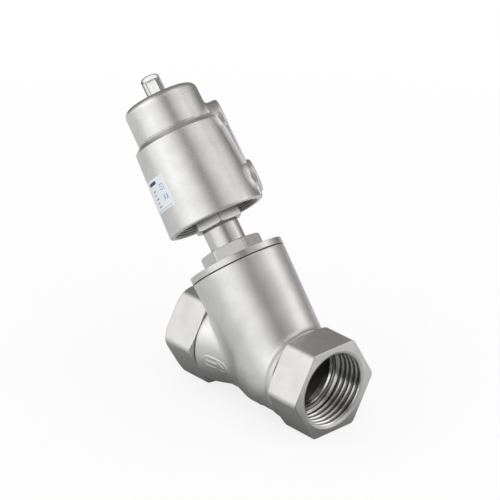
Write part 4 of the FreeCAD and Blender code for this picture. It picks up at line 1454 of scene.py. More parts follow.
@dataclass
class ValveCasting:
    """The cast body: pipe, leaning neck, two hexagon ports with their threads, and the inner walls."""

    shop: Workshop
    port: PortSizes = field(default_factory=PortSizes)
    plate: ArrowPlate = field(default_factory=ArrowPlate)
    pipe_heights: tuple[float, ...] = (-4.0, 27.4, 42.4, 52.4, 63.4, 85.6, 88.6, 120.0)
    pipe_radii: tuple[float, ...] = (28.0, 28.0, 24.4, 24.4, 27.0, 27.0, 28.0, 28.0)
    pipe_softness: float = 4.0
    neck_heights: tuple[float, ...] = (-12.0, -8.0, -4.0, 65.9)
    neck_radii: tuple[float, ...] = (22.5, 26.2, 27.6, 29.4)
    neck_softness: float = 3.0
    neck_edge: float = 0.5
    collar_radius: float = 28.0
    collar_edge: float = 0.7
    collar_groove: float = 1.1
    groove_floor: float = 25.2
    hidden_radius: float = 25.0
    blend: float = 3.6
    overlap: float = 1.1
    columns: int = 264
    row_step: float = 0.6
    neck_wall_radius: float = 25.05
    neck_wall_low: float = -12.5
    bowl_reach: float = 24.2
    bowl_top: float = 12.0
    slack: float = 0.01

    def solids(self) -> tuple[LatheSolid, LatheSolid]:
        """The pipe and the neck as distances.

        Returns:
            The pipe and the neck.
        """
        pipe = soft_line(self.pipe_heights, self.pipe_radii, self.pipe_softness)
        neck = soft_line(self.neck_heights, self.neck_radii, self.neck_softness)
        return LatheSolid(PIPE, *map(tuple, pipe)), LatheSolid(STEM_AXIS, *map(tuple, neck))

    def pipe_outline(self, pipe: LatheSolid, ends: tuple[float, float]) -> np.ndarray:
        """The pipe's outline between the hexagons, with a groove and a rounded edge at the inlet's.

        Args:
            pipe: The pipe.
            ends: The places of the hexagons' backs.

        Returns:
            Points (n, 2) of radius and place.
        """
        groove, edge = self.collar_groove, self.collar_edge
        arc = np.linspace(0, math.pi / 2, 6)
        radii = np.concatenate([[self.hidden_radius, self.groove_floor, self.groove_floor],
                                self.collar_radius - edge + edge * np.sin(arc)])
        inlet = np.concatenate([[0.0, 0.0, groove], groove + edge - edge * np.cos(arc)])
        middle = np.arange(ends[0] + inlet[-1] + 0.5, ends[1] - 0.4, self.row_step)
        outlet = [(self.collar_radius, ends[1] - 0.1), (self.collar_radius - 0.1, ends[1]),
                  (self.hidden_radius, ends[1])]
        return np.concatenate([
            np.stack([radii, ends[0] + inlet], -1), np.stack([pipe.radius_at(middle), middle], -1), outlet])

    def skin(self) -> bpy.types.Object:
        """Pipe and neck as two swept patches drawn onto one blended skin.

        Returns:
            The object.
        """
        pipe, neck = self.solids()
        ends = (self.port.length, FACE_TO_FACE - self.port.length)
        both = BlendedSkin((pipe, neck), self.blend, ends)
        turn = full_turn(self.columns)
        neck_top = self.neck_heights[-1]
        heights = np.arange(self.neck_heights[0], neck_top - self.row_step, self.row_step)
        neck_outline = np.stack([neck.radius_at(heights), heights], -1)
        surface = Surface("body_casting")
        for own, other, outline in ((pipe, neck, self.pipe_outline(pipe, ends)), (neck, pipe, neck_outline)):
            grid = lathe_points(own.frame, outline, turn)
            keep = both.uncovered(grid, [other], self.overlap)
            surface.add_grid(both.settled(grid, own), keep=keep, flipped=True)
        top = rounded_outline(
            [(*neck_outline[-1], 0), (self.neck_radii[-1], neck_top, self.neck_edge),
             (self.hidden_radius, neck_top, 0)], 1.0)
        surface.add_grid(lathe_points(STEM_AXIS, top, turn), flipped=True)
        return surface.build(40.0)

    def port_hexagon(self, name: str, face: float, inward: float) -> bpy.types.Object:
        """A port's hexagon from the thread's mouth over the face and flats to the collar.

        Args:
            name: The object's name.
            face: The port face's place on the pipe.
            inward: 1 where the pipe runs on along +X, -1 at the other end.

        Returns:
            The object.
        """
        p = self.port
        turn = full_turn(360)
        end_cut = p.inlet_end_cut if inward > 0 else p.outlet_end_cut
        band = HexagonBand(p.flats, 0.0, p.length, p.corner_rounding, 0.0, end_cut, p.back_cut, p.edge)
        depths, outer = band.rows(turn)
        mouth = np.array([p.wall_radius, p.mouth_radius - p.mouth_edge, p.mouth_radius + p.mouth_rim])
        over_face = np.linspace(0.08, 0.92, 8)[:, None]
        over_back = np.array([0.25, 0.6, 1.0])[:, None]
        radius = np.concatenate([
            mouth[:, None] + 0 * turn,
            mouth[-1] * (1 - over_face) + outer[0] * over_face,
            outer,
            outer[-1] * (1 - over_back) + p.back_radius * over_back,
        ])
        places = np.concatenate([
            [p.mouth_depth, p.mouth_edge, 0.0], 0 * over_face[:, 0], depths, p.length + 0 * over_back[:, 0]])
        surface = Surface(name)
        surface.add_grid(PIPE.ring_points(radius, turn, face + inward * places[:, None]), flipped=inward > 0)
        return surface.build(28.0)

    def port_thread(self, name: str, face: float, inward: float) -> bpy.types.Object:
        """The inner pipe thread: radius = wall + depth * rounded tooth(place / pitch - turn).

        Past the wall's end the last ridges and a smooth band line the passage.

        Args:
            name: The object's name.
            face: The port face's place on the pipe.
            inward: 1 where the pipe runs on along +X, -1 at the other end.

        Returns:
            The object.
        """
        p = self.port
        turn = full_turn(216)
        end = p.mouth_depth + p.thread_length
        depth = np.linspace(p.mouth_depth, p.bore_band_end, 190)[:, None]
        tooth = saw_tooth(depth / p.thread_pitch - inward * turn[None, :] / (2 * math.pi))
        tooth = np.clip((tooth - p.root_share) / p.flank_share, 0, 1)
        tooth = smooth_rise(tooth) * p.roundness + tooth * (1 - p.roundness)
        run_in = np.clip((depth - p.mouth_depth) / p.thread_run_in, 0, 1)
        run_out = np.clip((end - 0.9 - depth) / p.thread_run_out, 0, 1)
        wall = p.wall_radius + p.thread_depth * tooth * run_in * run_out
        fade = np.clip((p.bore_thread_end - depth) / p.thread_run_out, 0, 1)
        bore = p.bore_radius - p.bore_ridge * (1 - tooth) * fade
        radius = np.where(depth < end - 0.1, wall, bore)
        surface = Surface(name)
        surface.add_grid(PIPE.ring_points(radius, turn, face + inward * depth), flipped=inward < 0)
        return surface.build(50.0)

    def inside(self) -> bpy.types.Object:
        """The passages, seat wall, bowl and neck thread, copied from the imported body.

        Returns:
            The object.
        """

        def within(triangles: np.ndarray) -> np.ndarray:
            """Picks the triangles whose corners all lie on the inner walls.

            Args:
                triangles: Corners (n, 3, 3).

            Returns:
                True for those triangles.
            """
            from_pipe, along = PIPE.round_places(triangles)
            from_neck, height = STEM_AXIS.round_places(triangles)
            start = self.port.mouth_depth + self.port.thread_length - self.slack
            in_pipe = from_pipe < self.port.wall_radius + self.slack
            in_pipe &= (along > start) & (along < FACE_TO_FACE - start)
            in_neck = (from_neck < self.neck_wall_radius) & (height > self.neck_wall_low)
            in_neck &= height < self.neck_heights[-1] + self.slack
            in_neck &= (from_pipe < self.bowl_reach) | (height > self.bowl_top)
            return (in_pipe | in_neck).all(1)

        return copied_part("body_inner_walls", self.shop.nodes["valve_body"], within)

    def build(self) -> None:
        """Makes and dresses every piece of the body."""
        body = ["valve_body"]
        ports = (("inlet", 0.0, 1.0), ("outlet", FACE_TO_FACE, -1.0))
        self.shop.place(self.skin(), Body.BASE, Slot.CAST, Look.CAST_BODY, body)
        for name, face, inward in ports:
            hexagon = self.port_hexagon(name + "_hexagon", face, inward)
            self.shop.place(hexagon, Body.BASE, Slot.CAST, Look.CAST_BODY, body)
        for name, face, inward in ports:
            thread = self.port_thread(name + "_thread", face, inward)
            self.shop.place(thread, Body.BASE, Slot.TURNED, Look.PORT_THREAD, body)
        self.shop.place(self.inside(), Body.BASE, Slot.CAST, Look.SHADED_INNER_WALL, body)
        self.shop.place(self.plate.build(self.solids()[0]), Body.BASE, Slot.CAST, Look.CAST_BODY)


# The actuator's head


@dataclass
class AirBossSizes:
    """One air port's boss: height on the head's axis, face's distance from it, and its tapped hole."""

    height: float
    face: float
    radius: float = 10.5
    rounding: float = 1.7
    foot: float = 14.0
    mouth: float = 4.95
    mouth_depth: float = 0.65
    wall: float = 4.3
    depth: float = 5.8
    pitch: float = 0.907
    tooth: float = 0.5
    floor_radius: float = 2.6
    floor_fall: float = 0.7
    passage_radius: float = 1.3
    passage_depth: float = 4.0
    fade_in: float = 0.3
    fade_out: float = 0.4

    def solid(self) -> BossSolid:
        """The boss as a distance, on a frame whose axis points out through it.

        Returns:
            The boss.
        """
        origin = HEAD_AXIS.to_world(np.array([0.0, 0.0, self.height]))
        frame = AxisFrame(tuple(origin), HEAD_AXIS.side, HEAD_AXIS.along, HEAD_AXIS.across)
        return BossSolid(frame, self.radius, self.face, self.rounding)

    def add_hole(self, frame: AxisFrame, surface: Surface) -> None:
        """The tapped hole: its mouth, a helix of small teeth, the floor and the passage.

        Args:
            frame: The boss's frame.
            surface: Where the hole is added.
        """
        turn = full_turn(96)
        depth = np.linspace(self.mouth_depth, self.depth, 56)[:, None]
        tooth = self.tooth * saw_tooth(depth / self.pitch + turn[None, :] / (2 * math.pi))
        fade = np.clip((depth - self.mouth_depth) / self.fade_in, 0, 1)
        fade = fade * np.clip((self.depth - self.fade_out - depth) / self.fade_out, 0, 1)
        end = self.depth + self.passage_depth
        floor = np.array([
            (self.floor_radius, self.depth), (self.passage_radius, self.depth + self.floor_fall),
            (self.passage_radius, end), (0.01, end)])
        radius = np.concatenate([
            self.mouth + 0 * turn[None, :], self.wall + tooth * fade, floor[:, :1] + 0 * turn[None, :]])
        places = np.concatenate([[0.0], depth[:, 0], floor[:, 1]])[:, None]
        surface.add_grid(frame.ring_points(radius, turn, self.face - places), flipped=True)


@dataclass
class FoilLabel:
    """The foil label on the skirt, its lifts counted from the skirt's skin."""

    turn: float = 240.0
    half_angle: float = 46.0
    low: float = 112.2
    high: float = 132.2
    outer_lift: float = 0.17
    inner_lift: float = 0.02
    rows: int = 24
    columns: int = 70

    def build(self, radius_at: Callable[[np.ndarray], np.ndarray]) -> bpy.types.Object:
        """A thin closed shell bent round the skirt's draft, its map over both faces.

        Args:
            radius_at: Gives the skirt's radius at heights.

        Returns:
            The object.
        """
        frame = STEM_AXIS.turned(self.turn)
        turn = np.radians(np.linspace(-self.half_angle, self.half_angle, self.columns))
        height = np.linspace(self.low, self.high, self.rows)[:, None]
        uv = np.stack(np.meshgrid(np.linspace(0, 1, self.columns), np.linspace(0, 1, self.rows)), -1)
        surface = Surface("printed_label")
        outer = frame.ring_points(radius_at(height) + self.outer_lift, turn, height)
        inner = frame.ring_points(radius_at(height) + self.inner_lift, turn, height)
        surface.add_grid(outer, wrapped=False, uv=uv)
        surface.add_grid(inner, wrapped=False, flipped=True, uv=uv)
        for edge_out, edge_in, flipped in (
                (outer[0], inner[0], True), (outer[-1], inner[-1], False),
                (outer[:, 0], inner[:, 0], False), (outer[:, -1], inner[:, -1], True)):
            surface.add_grid(np.stack([edge_out, edge_in]), wrapped=False, flipped=flipped)
        return surface.build(30.0)


@dataclass
class ActuatorHousing:
    """The cylinder casting: skirt, cap, two air bosses, the rib between them, and the inner walls."""

    shop: Workshop
    sheet: FoilLabel = field(default_factory=FoilLabel)
    bosses: tuple[AirBossSizes, ...] = (AirBossSizes(110.4, 32.8), AirBossSizes(151.0, 30.4))
    rib: RibSolid = RibSolid(HEAD_AXIS, 7.0, 97.6, 152.0, 30.4, 0.9)
    rib_foot: float = 18.0
    rim: float = 96.4
    mouth_radius: float = 27.1
    skirt_radius: float = 30.0
    shoulder: float = 150.5
    shoulder_radius: float = 27.3
    groove: float = 153.9
    groove_top: float = 154.5
    groove_radius: float = 22.9
    cap_foot_radius: float = 23.4
    cap_top: float = 176.9
    cap_radius: float = 23.1
    crown: float = 177.5
    crown_radius: float = 8.2
    dome_seat: float = 6.0
    blend: float = 2.4
    overlap: float = 0.9
    cylinder_top: float = 141.0
    chamber_radius: float = 20.5
    chamber_top: float = 172.5
    thread_low: float = 97.25
    thread_high: float = 100.95
    thread_pitch: float = 1.3
    thread_radius: float = 26.28
    thread_tooth: float = 0.62
    thread_fade: float = 0.3
    fine_turn: float = 52.0
    raised_side: float = 8.0
    raised_half_width: float = 24.0
    wall_radius: float = 20.0
    sharp_angle: float = 38.0

    def outline(self) -> np.ndarray:
        """The skirt's and cap's outline from the open rim to the dome's seat.

        Returns:
            Points (n, 2) of radius and height.
        """
        return rounded_outline([
            (self.mouth_radius, self.rim, 0),
            (self.mouth_radius + 0.05, self.rim, 0),
            (self.skirt_radius, self.rim, 1.1),
            (self.shoulder_radius, self.shoulder, 0.9),
            (self.cap_foot_radius, self.groove, 0.5),
            (self.groove_radius, self.groove, 0.15),
            (self.groove_radius, self.groove_top, 0.15),
            (self.cap_foot_radius, self.groove_top, 0.3),
            (self.cap_radius, self.cap_top, 4.6),
            (self.crown_radius, self.crown, 3.0),
            (self.dome_seat, self.crown, 0),
        ], 0.6)

    def skirt_radius_at(self, height: np.ndarray) -> np.ndarray:
        """The drafted skirt's radius at each height."""
        share = (height - self.rim) / (self.shoulder - self.rim)
        return self.skirt_radius - (self.skirt_radius - self.shoulder_radius) * share

    def lathe(self) -> LatheSolid:
        """The skirt and the cap as a distance.

        Returns:
            The turned solid.
        """
        outline = self.outline()
        side = outline[(outline[:, 0] > self.wall_radius) & (outline[:, 1] > self.rim + 0.01)]
        order = np.argsort(side[:, 1], kind="stable")
        return LatheSolid(HEAD_AXIS, tuple(side[order, 1]), tuple(side[order, 0]))

    def skirt(self, whole: BlendedSkin) -> bpy.types.Object:
        """The skirt and the cap, with finer columns beside the bosses and the rib.

        Args:
            whole: The blended skin of the lathe and of what is raised on it.

        Returns:
            The object.
        """
        lathe, raised = whole.solids
        fine = np.linspace(-self.fine_turn, self.fine_turn, 210)[:-1]
        coarse = np.linspace(self.fine_turn, 360 - self.fine_turn, 110)[:-1]
        grid = lathe_points(HEAD_AXIS, self.outline(), np.radians(np.concatenate([fine, coarse])))
        local = HEAD_AXIS.to_local(grid)
        beside = (local[..., 0] > self.raised_side) & (np.abs(local[..., 1]) < self.raised_half_width)
        beside &= np.hypot(local[..., 0], local[..., 1]) > self.wall_radius
        beside &= local[..., 2] > self.rim + 0.5
        surface = Surface("housing_casting")
        moved = np.where(beside[..., None], whole.settled(grid, lathe), grid)
        keep = whole.uncovered(grid, [raised], self.overlap) | ~beside
        surface.add_grid(moved, keep=keep, flipped=True)
        return surface.build(self.sharp_angle)

    def boss_pieces(
        self, whole: BlendedSkin, lathe: LatheSolid, solids: Sequence[BossSolid],
    ) -> bpy.types.Object:
        """Both bosses with their holes.

        Args:
            whole: The blended skin.
            lathe: The skirt and the cap.
            solids: The bosses.

        Returns:
            The object.
        """
        surface = Surface("housing_bosses")
        for sizes, boss in zip(self.bosses, solids):
            outline = rounded_outline(
                [(sizes.mouth, sizes.face, 0), (sizes.radius, sizes.face, sizes.rounding),
                 (sizes.radius, sizes.foot, 0)], 0.4)
            grid = lathe_points(boss.frame, outline, full_turn(168))
            wall = (outline[:, 0] > sizes.radius - sizes.rounding)[:, None]
            others = [lathe, self.rib, *(other for other in solids if other is not boss)]
            keep = whole.uncovered(grid, others, self.overlap) | ~wall
            surface.add_grid(np.where(wall[..., None], whole.settled(grid, boss), grid), keep=keep)
            sizes.add_hole(boss.frame, surface)
        return surface.build(self.sharp_angle)

    def rib_piece(
        self, whole: BlendedSkin, lathe: LatheSolid, solids: Sequence[BossSolid],
    ) -> bpy.types.Object:
        """The rib's cross-section carried along the head's axis, its low end drawn in to a point.

        Args:
            whole: The blended skin.
            lathe: The skirt and the cap.
            solids: The bosses.

        Returns:
            The object.
        """
        rib, foot = self.rib, self.rib_foot
        cross = rounded_outline(
            [(foot, -rib.half_width, 0), (rib.face, -rib.half_width, rib.rounding),
             (rib.face, rib.half_width, rib.rounding), (foot, rib.half_width, 0)], 0.4)
        heights = np.concatenate([np.full(5, rib.low), np.arange(rib.low + 0.2, rib.high, 0.5)])
        share = np.concatenate([np.linspace(0.0, 1.0, 5), np.ones(len(heights) - 5)])[:, None]
        out = foot + (cross[:, 0] - foot)[None, :] * share
        side = cross[:, 1][None, :] * share
        grid = HEAD_AXIS.to_world(np.stack([out, side, heights[:, None] + 0 * out], -1))
        keep = whole.uncovered(grid, [lathe, *solids], self.overlap)
        for boss in solids:
            keep &= boss.frame.round_places(grid)[0] > boss.radius - boss.rounding - 0.6
        surface = Surface("housing_rib")
        surface.add_grid(whole.settled(grid, None, 8), keep=keep, wrapped=False, flipped=True)
        return surface.build(self.sharp_angle)

    def inside(self) -> bpy.types.Object:
        """The bore, thread wall and spring chamber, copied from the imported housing.

        Returns:
            The object.
        """

        def within(triangles: np.ndarray) -> np.ndarray:
            """Picks the triangles whose corners all lie on the inner walls.

            Args:
                triangles: Corners (n, 3, 3).

            Returns:
                True for those triangles.
            """
            radius, height = HEAD_AXIS.round_places(triangles)
            low = (radius < self.mouth_radius + 0.05) & (height < self.cylinder_top + 0.05)
            high = (radius < self.chamber_radius) & (height > self.cylinder_top - 0.1)
            return (low | (high & (height < self.chamber_top))).all(1)

        return copied_part("housing_inner_walls", self.shop.nodes["actuator_housing"], within)

    def mouth_thread(self) -> bpy.types.Object:
        """The last turns of the cover's thread, which show on the wall of the skirt's open mouth.

        Radius = wall - tooth height * tooth(height / pitch - turn).

        Returns:
            The object.
        """
        turn = full_turn(192)
        height = np.linspace(self.thread_low, self.thread_high, 66)[:, None]
        tooth = 1.0 - saw_tooth(height / self.thread_pitch - turn[None, :] / (2 * math.pi))
        fade = np.clip((height - self.thread_low) / self.thread_fade, 0, 1)
        radius = self.thread_radius - self.thread_tooth * tooth * fade
        surface = Surface("housing_mouth_thread")
        surface.add_grid(HEAD_AXIS.ring_points(radius, turn, height))
        return surface.build(30.0)

    def build(self) -> None:
        """Makes and dresses every piece of the housing."""
        housing = ["actuator_housing"]
        lathe, bosses = self.lathe(), [sizes.solid() for sizes in self.bosses]
        whole = BlendedSkin((lathe, JoinedSolid((self.rib, *bosses))), self.blend)
        for piece, look in (
                (self.skirt(whole), Look.CAST_HEAD),
                (self.boss_pieces(whole, lathe, bosses), Look.CAST_HEAD),
                (self.rib_piece(whole, lathe, bosses), Look.CAST_HEAD),
                (self.inside(), Look.SHADED_INNER_WALL),
                (self.mouth_thread(), Look.MOUTH_THREAD)):
            self.shop.place(piece, Body.HEAD, Slot.CAST, look, housing)
        self.shop.place(self.sheet.build(self.skirt_radius_at), Body.HEAD, Slot.LABEL, Look.LABEL, ["label"])


@dataclass
class ReturnSprings:
    """The two nested springs, which on the real valve shorten as the piston rises; here they keep one length.
    """

    shop: Workshop
    foot: float = 117.35
    top: float = 171.85
    stroke: float = 13.0
    flat_turns: float = 0.8
    flat_lift: float = 0.4

    def coil(self, name: str, radius: float, wire: float, turns: float, hand: float) -> bpy.types.Object:
        """A wire swept along a helix whose end turns lie flat.

        The centre line is (r cos a, r sin a, height(a)); the wire's circle lies across it.

        Args:
            name: The object's name.
            radius: Mean radius of the coil.
            wire: Wire diameter.
            turns: Turns in all.
            hand: 1 for a right-hand coil, -1 for a left-hand one.

        Returns:
            The object.
        """
        share = np.linspace(0, 1, int(turns * 40))[:, None]
        flat = self.flat_turns / turns
        rise = np.clip((share - flat) / (1 - 2 * flat), 0, 1)
        closed = np.clip(share / flat, 0, 1) + np.clip((share - 1 + flat) / flat, 0, 1)
        low, high = self.foot + wire / 2, self.top - wire / 2
        height = low + (high - low - wire * 2 * self.flat_lift) * rise + closed * wire * self.flat_lift
        round_wire = full_turn(14)[None, :]
        out, up = radius + wire / 2 * np.cos(round_wire), height + wire / 2 * np.sin(round_wire)
        grid = STEM_AXIS.ring_points(out, hand * share * turns * 2 * math.pi, up)
        surface = Surface(name)
        surface.add_grid(grid, flipped=hand > 0)
        for row, flipped in ((grid[0], hand < 0), (grid[-1], hand > 0)):
            cap = np.stack([row, np.broadcast_to(row.mean(0), row.shape)])
            surface.add_grid(cap, flipped=flipped)
        return surface.build(60.0)

    def build(self) -> None:
        """Makes and dresses both springs, each with a mesh of its own."""
        anchor = STEM_AXIS.to_world(np.array([0.0, 0.0, self.top])) * MM
        for name, node, radius, wire, turns, hand in (
                ("outer_return_coil", "return_spring_outer", 16.6, 3.2, 7.5, 1.0),
                ("inner_return_coil", "return_spring_inner", 11.5, 2.0, 10.0, -1.0)):
            piece = self.coil(name, radius, wire, turns, hand)
            self.shop.place(piece, Body.HEAD, Slot.SPRING, Look.SPRING, [node])
            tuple(STEM_AXIS.along)
            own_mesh(piece)


@dataclass
class SpannerHexagons:
    """The bonnet and the lower cover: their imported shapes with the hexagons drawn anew, corners rounded."""

    shop: Workshop
    bonnet: HexagonBand = HexagonBand(33.0, 70.3, 78.7, 0.8, 50.0, (0.5, 0.2), (0.9, 1.2), 0.35)
    cover: HexagonBand = HexagonBand(27.5, 92.0, 101.0, 1.3, 30.0, (0.9, 1.6), (0.6, 0.2), 0.6)
    foot_depth: float = 0.03
    foot_reach: float = 0.5

    def hexagon(
        self, name: str, band: HexagonBand, inner: tuple[float, float], foot_low: bool,
    ) -> bpy.types.Object:
        """A band with its two end faces, each a straight fall from its edge to an inner circle.

        The end that stands on the part's flange has a thin foot, hidden behind the flange's face,
        that closes the gap about the rounded corners.

        Args:
            name: The object's name.
            band: The hexagon.
            inner: Inner radii of the low and the high end face.
            foot_low: True where the low end stands on the flange, False where the high end does.

        Returns:
            The object.
        """
        turn = full_turn(360)
        heights, outer = band.rows(turn)
        foot = (hexagon_radius(turn, band.flats, 0.01, band.first_corner) + self.foot_reach)[None, :]
        low_rim, high_rim = (foot, outer[-1:]) if foot_low else (outer[:1], foot)
        low = np.linspace(0.0, 1.0 if foot_low else 0.9, 5)[:, None]
        high = np.linspace(0.1 if foot_low else 0.0, 1.0, 5)[:, None]
        radius = np.concatenate([
            inner[0] * (1 - low) + low_rim * low, outer, high_rim * (1 - high) + inner[1] * high])
        low_place = band.low - (self.foot_depth if foot_low else 0.0)
        high_place = band.high + (0.0 if foot_low else self.foot_depth)
        places = np.concatenate([low_place + 0 * low[:, 0], heights, high_place + 0 * high[:, 0]])[:, None]
        surface = Surface(name)
        surface.add_grid(STEM_AXIS.ring_points(radius, turn, places), flipped=True)
        return surface.build(28.0)

    def remainder(self, name: str, node: str, band: HexagonBand, inner: float) -> bpy.types.Object:
        """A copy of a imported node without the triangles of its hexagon.

        Args:
            name: The object's name.
            node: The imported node.
            band: The hexagon.
            inner: Radius of the hole through it.

        Returns:
            The object.
        """
        slack = 0.01

        def outside_band(triangles: np.ndarray) -> np.ndarray:
            """Picks the triangles that reach past the band or lie wholly on its inner wall.

            Args:
                triangles: Corners (n, 3, 3).

            Returns:
                True for those triangles.
            """
            radius, height = STEM_AXIS.round_places(triangles)
            within = ((height > band.low - slack) & (height < band.high + slack)).all(1)
            widest, corner = radius.max(1), band.flats / math.sqrt(3)
            return ~(within & (widest > inner + 0.05) & (widest < corner + 0.1))

        return copied_part(name, self.shop.nodes[node], outside_band)

    def build(self) -> None:
        """Makes and dresses the four pieces."""
        for name, node, band, inner, foot_low, body in (
                ("bonnet", "bonnet", self.bonnet, (17.0, 11.2), True, Body.BASE),
                ("cover", "lower_cover", self.cover, (11.3, 12.0), False, Body.HEAD)):
            rest = self.remainder(name + "_turned_part", node, band, min(inner))
            self.shop.place(rest, body, Slot.TURNED, Look.TURNED, [node])
            hexagon = self.hexagon(name + "_hexagon", band, inner, foot_low)
            self.shop.place(hexagon, body, Slot.TURNED, Look.MILLED, [node])


@dataclass
class PlainPieces:
    """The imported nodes, whose own shapes show where no new piece stands for them."""

    shop: Workshop

    def build(self) -> None:
        """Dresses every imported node."""
        table = {
            Look.TURNED: ["bonnet", "packing_nut", "packing_support_ring", "stem_seal_cap", "lower_cover",
                          "piston_washer", "piston_nut", "stem", "plug", "disc_retainer", "disc_nut"],
            Look.SPRING: ["packing_spring", "retaining_ring", "return_spring_outer", "return_spring_inner"],
            Look.SEAL_PLASTIC: ["packing_lower_ring", "packing_vee_ring_1", "packing_vee_ring_2",
                                "packing_vee_ring_3", "packing_upper_ring", "piston_guide_ring", "disc_seal"],
            Look.GASKET: ["body_gasket"],
            Look.BEARING: ["swivel_bearing_ring"],
            Look.RUBBER: ["stem_o_ring", "spigot_o_ring", "cover_o_ring", "dome_o_ring", "piston_seal",
                          "stem_joint_o_ring"],
            Look.BRONZE: ["stem_guide_bush"],
            Look.PISTON: ["piston"],
            Look.DOME: ["indicator_dome"],
            Look.INDICATOR: ["indicator_rod"],
            Look.CAST_BODY: ["valve_body", "actuator_housing"],
            Look.LABEL: ["label"],
        }
        for look, nodes in table.items():
            for node in nodes:
                self.shop.dress(node, look)


# Camera, light and floor


@dataclass(frozen=True)
class PhotoCamera:
    """The camera solved from the photograph: turn vector and place about the crossing, focal length."""

    turn: tuple[float, float, float] = (1.878, 0.835, -0.526)
    shift: tuple[float, float, float] = (21.714, 68.129, 1539.51)
    focal_pixels: float = 2620.005
    frame_pixels: float = 500.0
    sensor_width: float = 36.0
    clip: tuple[float, float] = (0.05, 20.0)

    def build(self) -> None:
        """Makes the camera and sets it as the scene's."""
        vector = Vector(self.turn)
        to_view = np.array(Matrix.Rotation(vector.length, 3, vector.normalized()))
        place = -to_view.T @ np.array(self.shift) + np.array([CROSSING, 0.0, 0.0])
        camera = bpy.data.cameras.new("photo_camera")
        camera.sensor_width = self.sensor_width
        camera.lens = self.focal_pixels / self.frame_pixels * self.sensor_width
        camera.clip_start, camera.clip_end = self.clip
        obj = bpy.data.objects.new("photo_camera", camera)
        bpy.context.scene.collection.objects.link(obj)
        pose = np.eye(4)
        pose[:3, :3] = to_view.T @ np.diag([1.0, -1.0, -1.0])
        pose[:3, 3] = place * MM
        obj.matrix_world = Matrix(pose.tolist())
        bpy.context.scene.camera = obj


@dataclass(frozen=True)
class SoftLamp:
    """A square soft lamp, its place, aim and size in metres."""

    name: str
    place: tuple[float, float, float]
    aim: tuple[float, float, float]
    size: float
    power: float

    def build(self) -> None:
        """Makes the lamp and turns it to its aim."""
        light = bpy.data.lights.new(self.name, "AREA")
        light.shape = "SQUARE"
        light.size = self.size
        light.energy = self.power
        obj = bpy.data.objects.new(self.name, light)
        bpy.context.scene.collection.objects.link(obj)
        obj.location = self.place
        obj.rotation_euler = (Vector(self.aim) - Vector(self.place)).to_track_quat("-Z", "Y").to_euler()


@dataclass(frozen=True)
class StudioFloor:
    """A pale round floor under the hexagons' lower flats, whose paper fades into the white room.

    Only the metal sees its painted shadow under the pipe and its painted dark patch beside the outlet.
    """

    height: float = -27.32
    middle: tuple[float, float, float] = (60.0, 0.0, 0.0)
    rings: tuple[float, ...] = (0.001, 150.0, 400.0, 750.0)
    pipe_middle: float = 53.0
    pipe_reach: float = 47.0
    # painted shadow under the pipe and painted dark patch beside the outlet, both seen only by the metal
    shade_span: tuple[float, float] = (22.0, 70.0)
    shade_tones: tuple[float, float] = (0.18, 0.60)
    painted_patch_place: tuple[float, float] = (175.0, -55.0)
    painted_patch_span: tuple[float, float] = (45.0, 75.0)
    painted_patch_tone: float = 0.04
    seen_tone: float = 0.96
    seen_glow: float = 0.80
    glossy_glow: float = 0.05
    fade_span: tuple[float, float] = (250.0, 600.0)

    def tone(
        self, chain: NodeChain, x: object, y: object, away: object, seen: object,
    ) -> bpy.types.NodeSocket:
        """The floor's colour: white to the camera, and to the metal a painted shadow under the pipe and a
        painted dark patch beside the outlet.
            seen: 1 for rays of the camera and through the dome, 0 for others.

        Returns:
            The colour.
        """
        near, far = (length * MM for length in self.shade_span)
        # painted shadow under the pipe, seen only by the metal
        paper = chain.mix(chain.span(away, near, far), grey(self.shade_tones[0]), grey(self.shade_tones[1]))
        # painted dark patch beside the outlet, seen only by the metal
        aside = [chain.math("SUBTRACT", part, place * MM) for part, place in zip((x, y), self.painted_patch_place)]
        near, far = (length * MM for length in self.painted_patch_span)
        painted_patch = chain.span(chain.length(*aside), near, far, 1.0, 0.0)
        return chain.mix(seen, chain.mix(painted_patch, paper, grey(self.painted_patch_tone)), grey(self.seen_tone))

    def build(self) -> None:
        """Makes the floor and its material, and leaves it out of the part."""
        outline = np.array([[radius, self.height] for radius in self.rings])
        upright = AxisFrame(self.middle, (1.0, 0.0, 0.0), (0.0, 1.0, 0.0), (0.0, 0.0, 1.0))
        surface = Surface("studio_floor")
        surface.add_grid(lathe_points(upright, outline, full_turn(96)), flipped=True)
        floor = surface.build()
        material, chain, shader = new_material("studio_floor_paper")
        shader.inputs["Roughness"].default_value = 0.9
        shader.inputs["Specular IOR Level"].default_value = 0.0
        x, y, _ = chain.split(chain.add("TexCoord").outputs["Object"])
        beside = chain.math("ABSOLUTE", chain.math("SUBTRACT", x, self.pipe_middle * MM))
        beyond = chain.math("MAXIMUM", chain.math("SUBTRACT", beside, self.pipe_reach * MM), 0.0)
        away = chain.length(beyond, y)
        rays = chain.add("LightPath").outputs
        seen = chain.math("MAXIMUM", rays["Is Camera Ray"], rays["Is Transmission Ray"])
        chain.link(self.tone(chain, x, y, away, seen), shader.inputs["Base Color"])
        glossy = chain.math("MULTIPLY", rays["Is Glossy Ray"], self.glossy_glow)
        near_glow = chain.math("MULTIPLY_ADD", seen, self.seen_glow, glossy)
        far_glow = chain.math("MAXIMUM", seen, near_glow)
        near, far = (length * MM for length in self.fade_span)
        blend = chain.add("MixShader")
        chain.link(chain.span(away, near, far, near_glow, far_glow), blend.inputs[0])
        chain.link(shader.outputs[0], blend.inputs[1])
        chain.link(chain.add("Emission").outputs[0], blend.inputs[2])
        chain.link(blend.outputs[0], material.node_tree.nodes["Material Output"].inputs["Surface"])
        floor.data.materials.append(material)


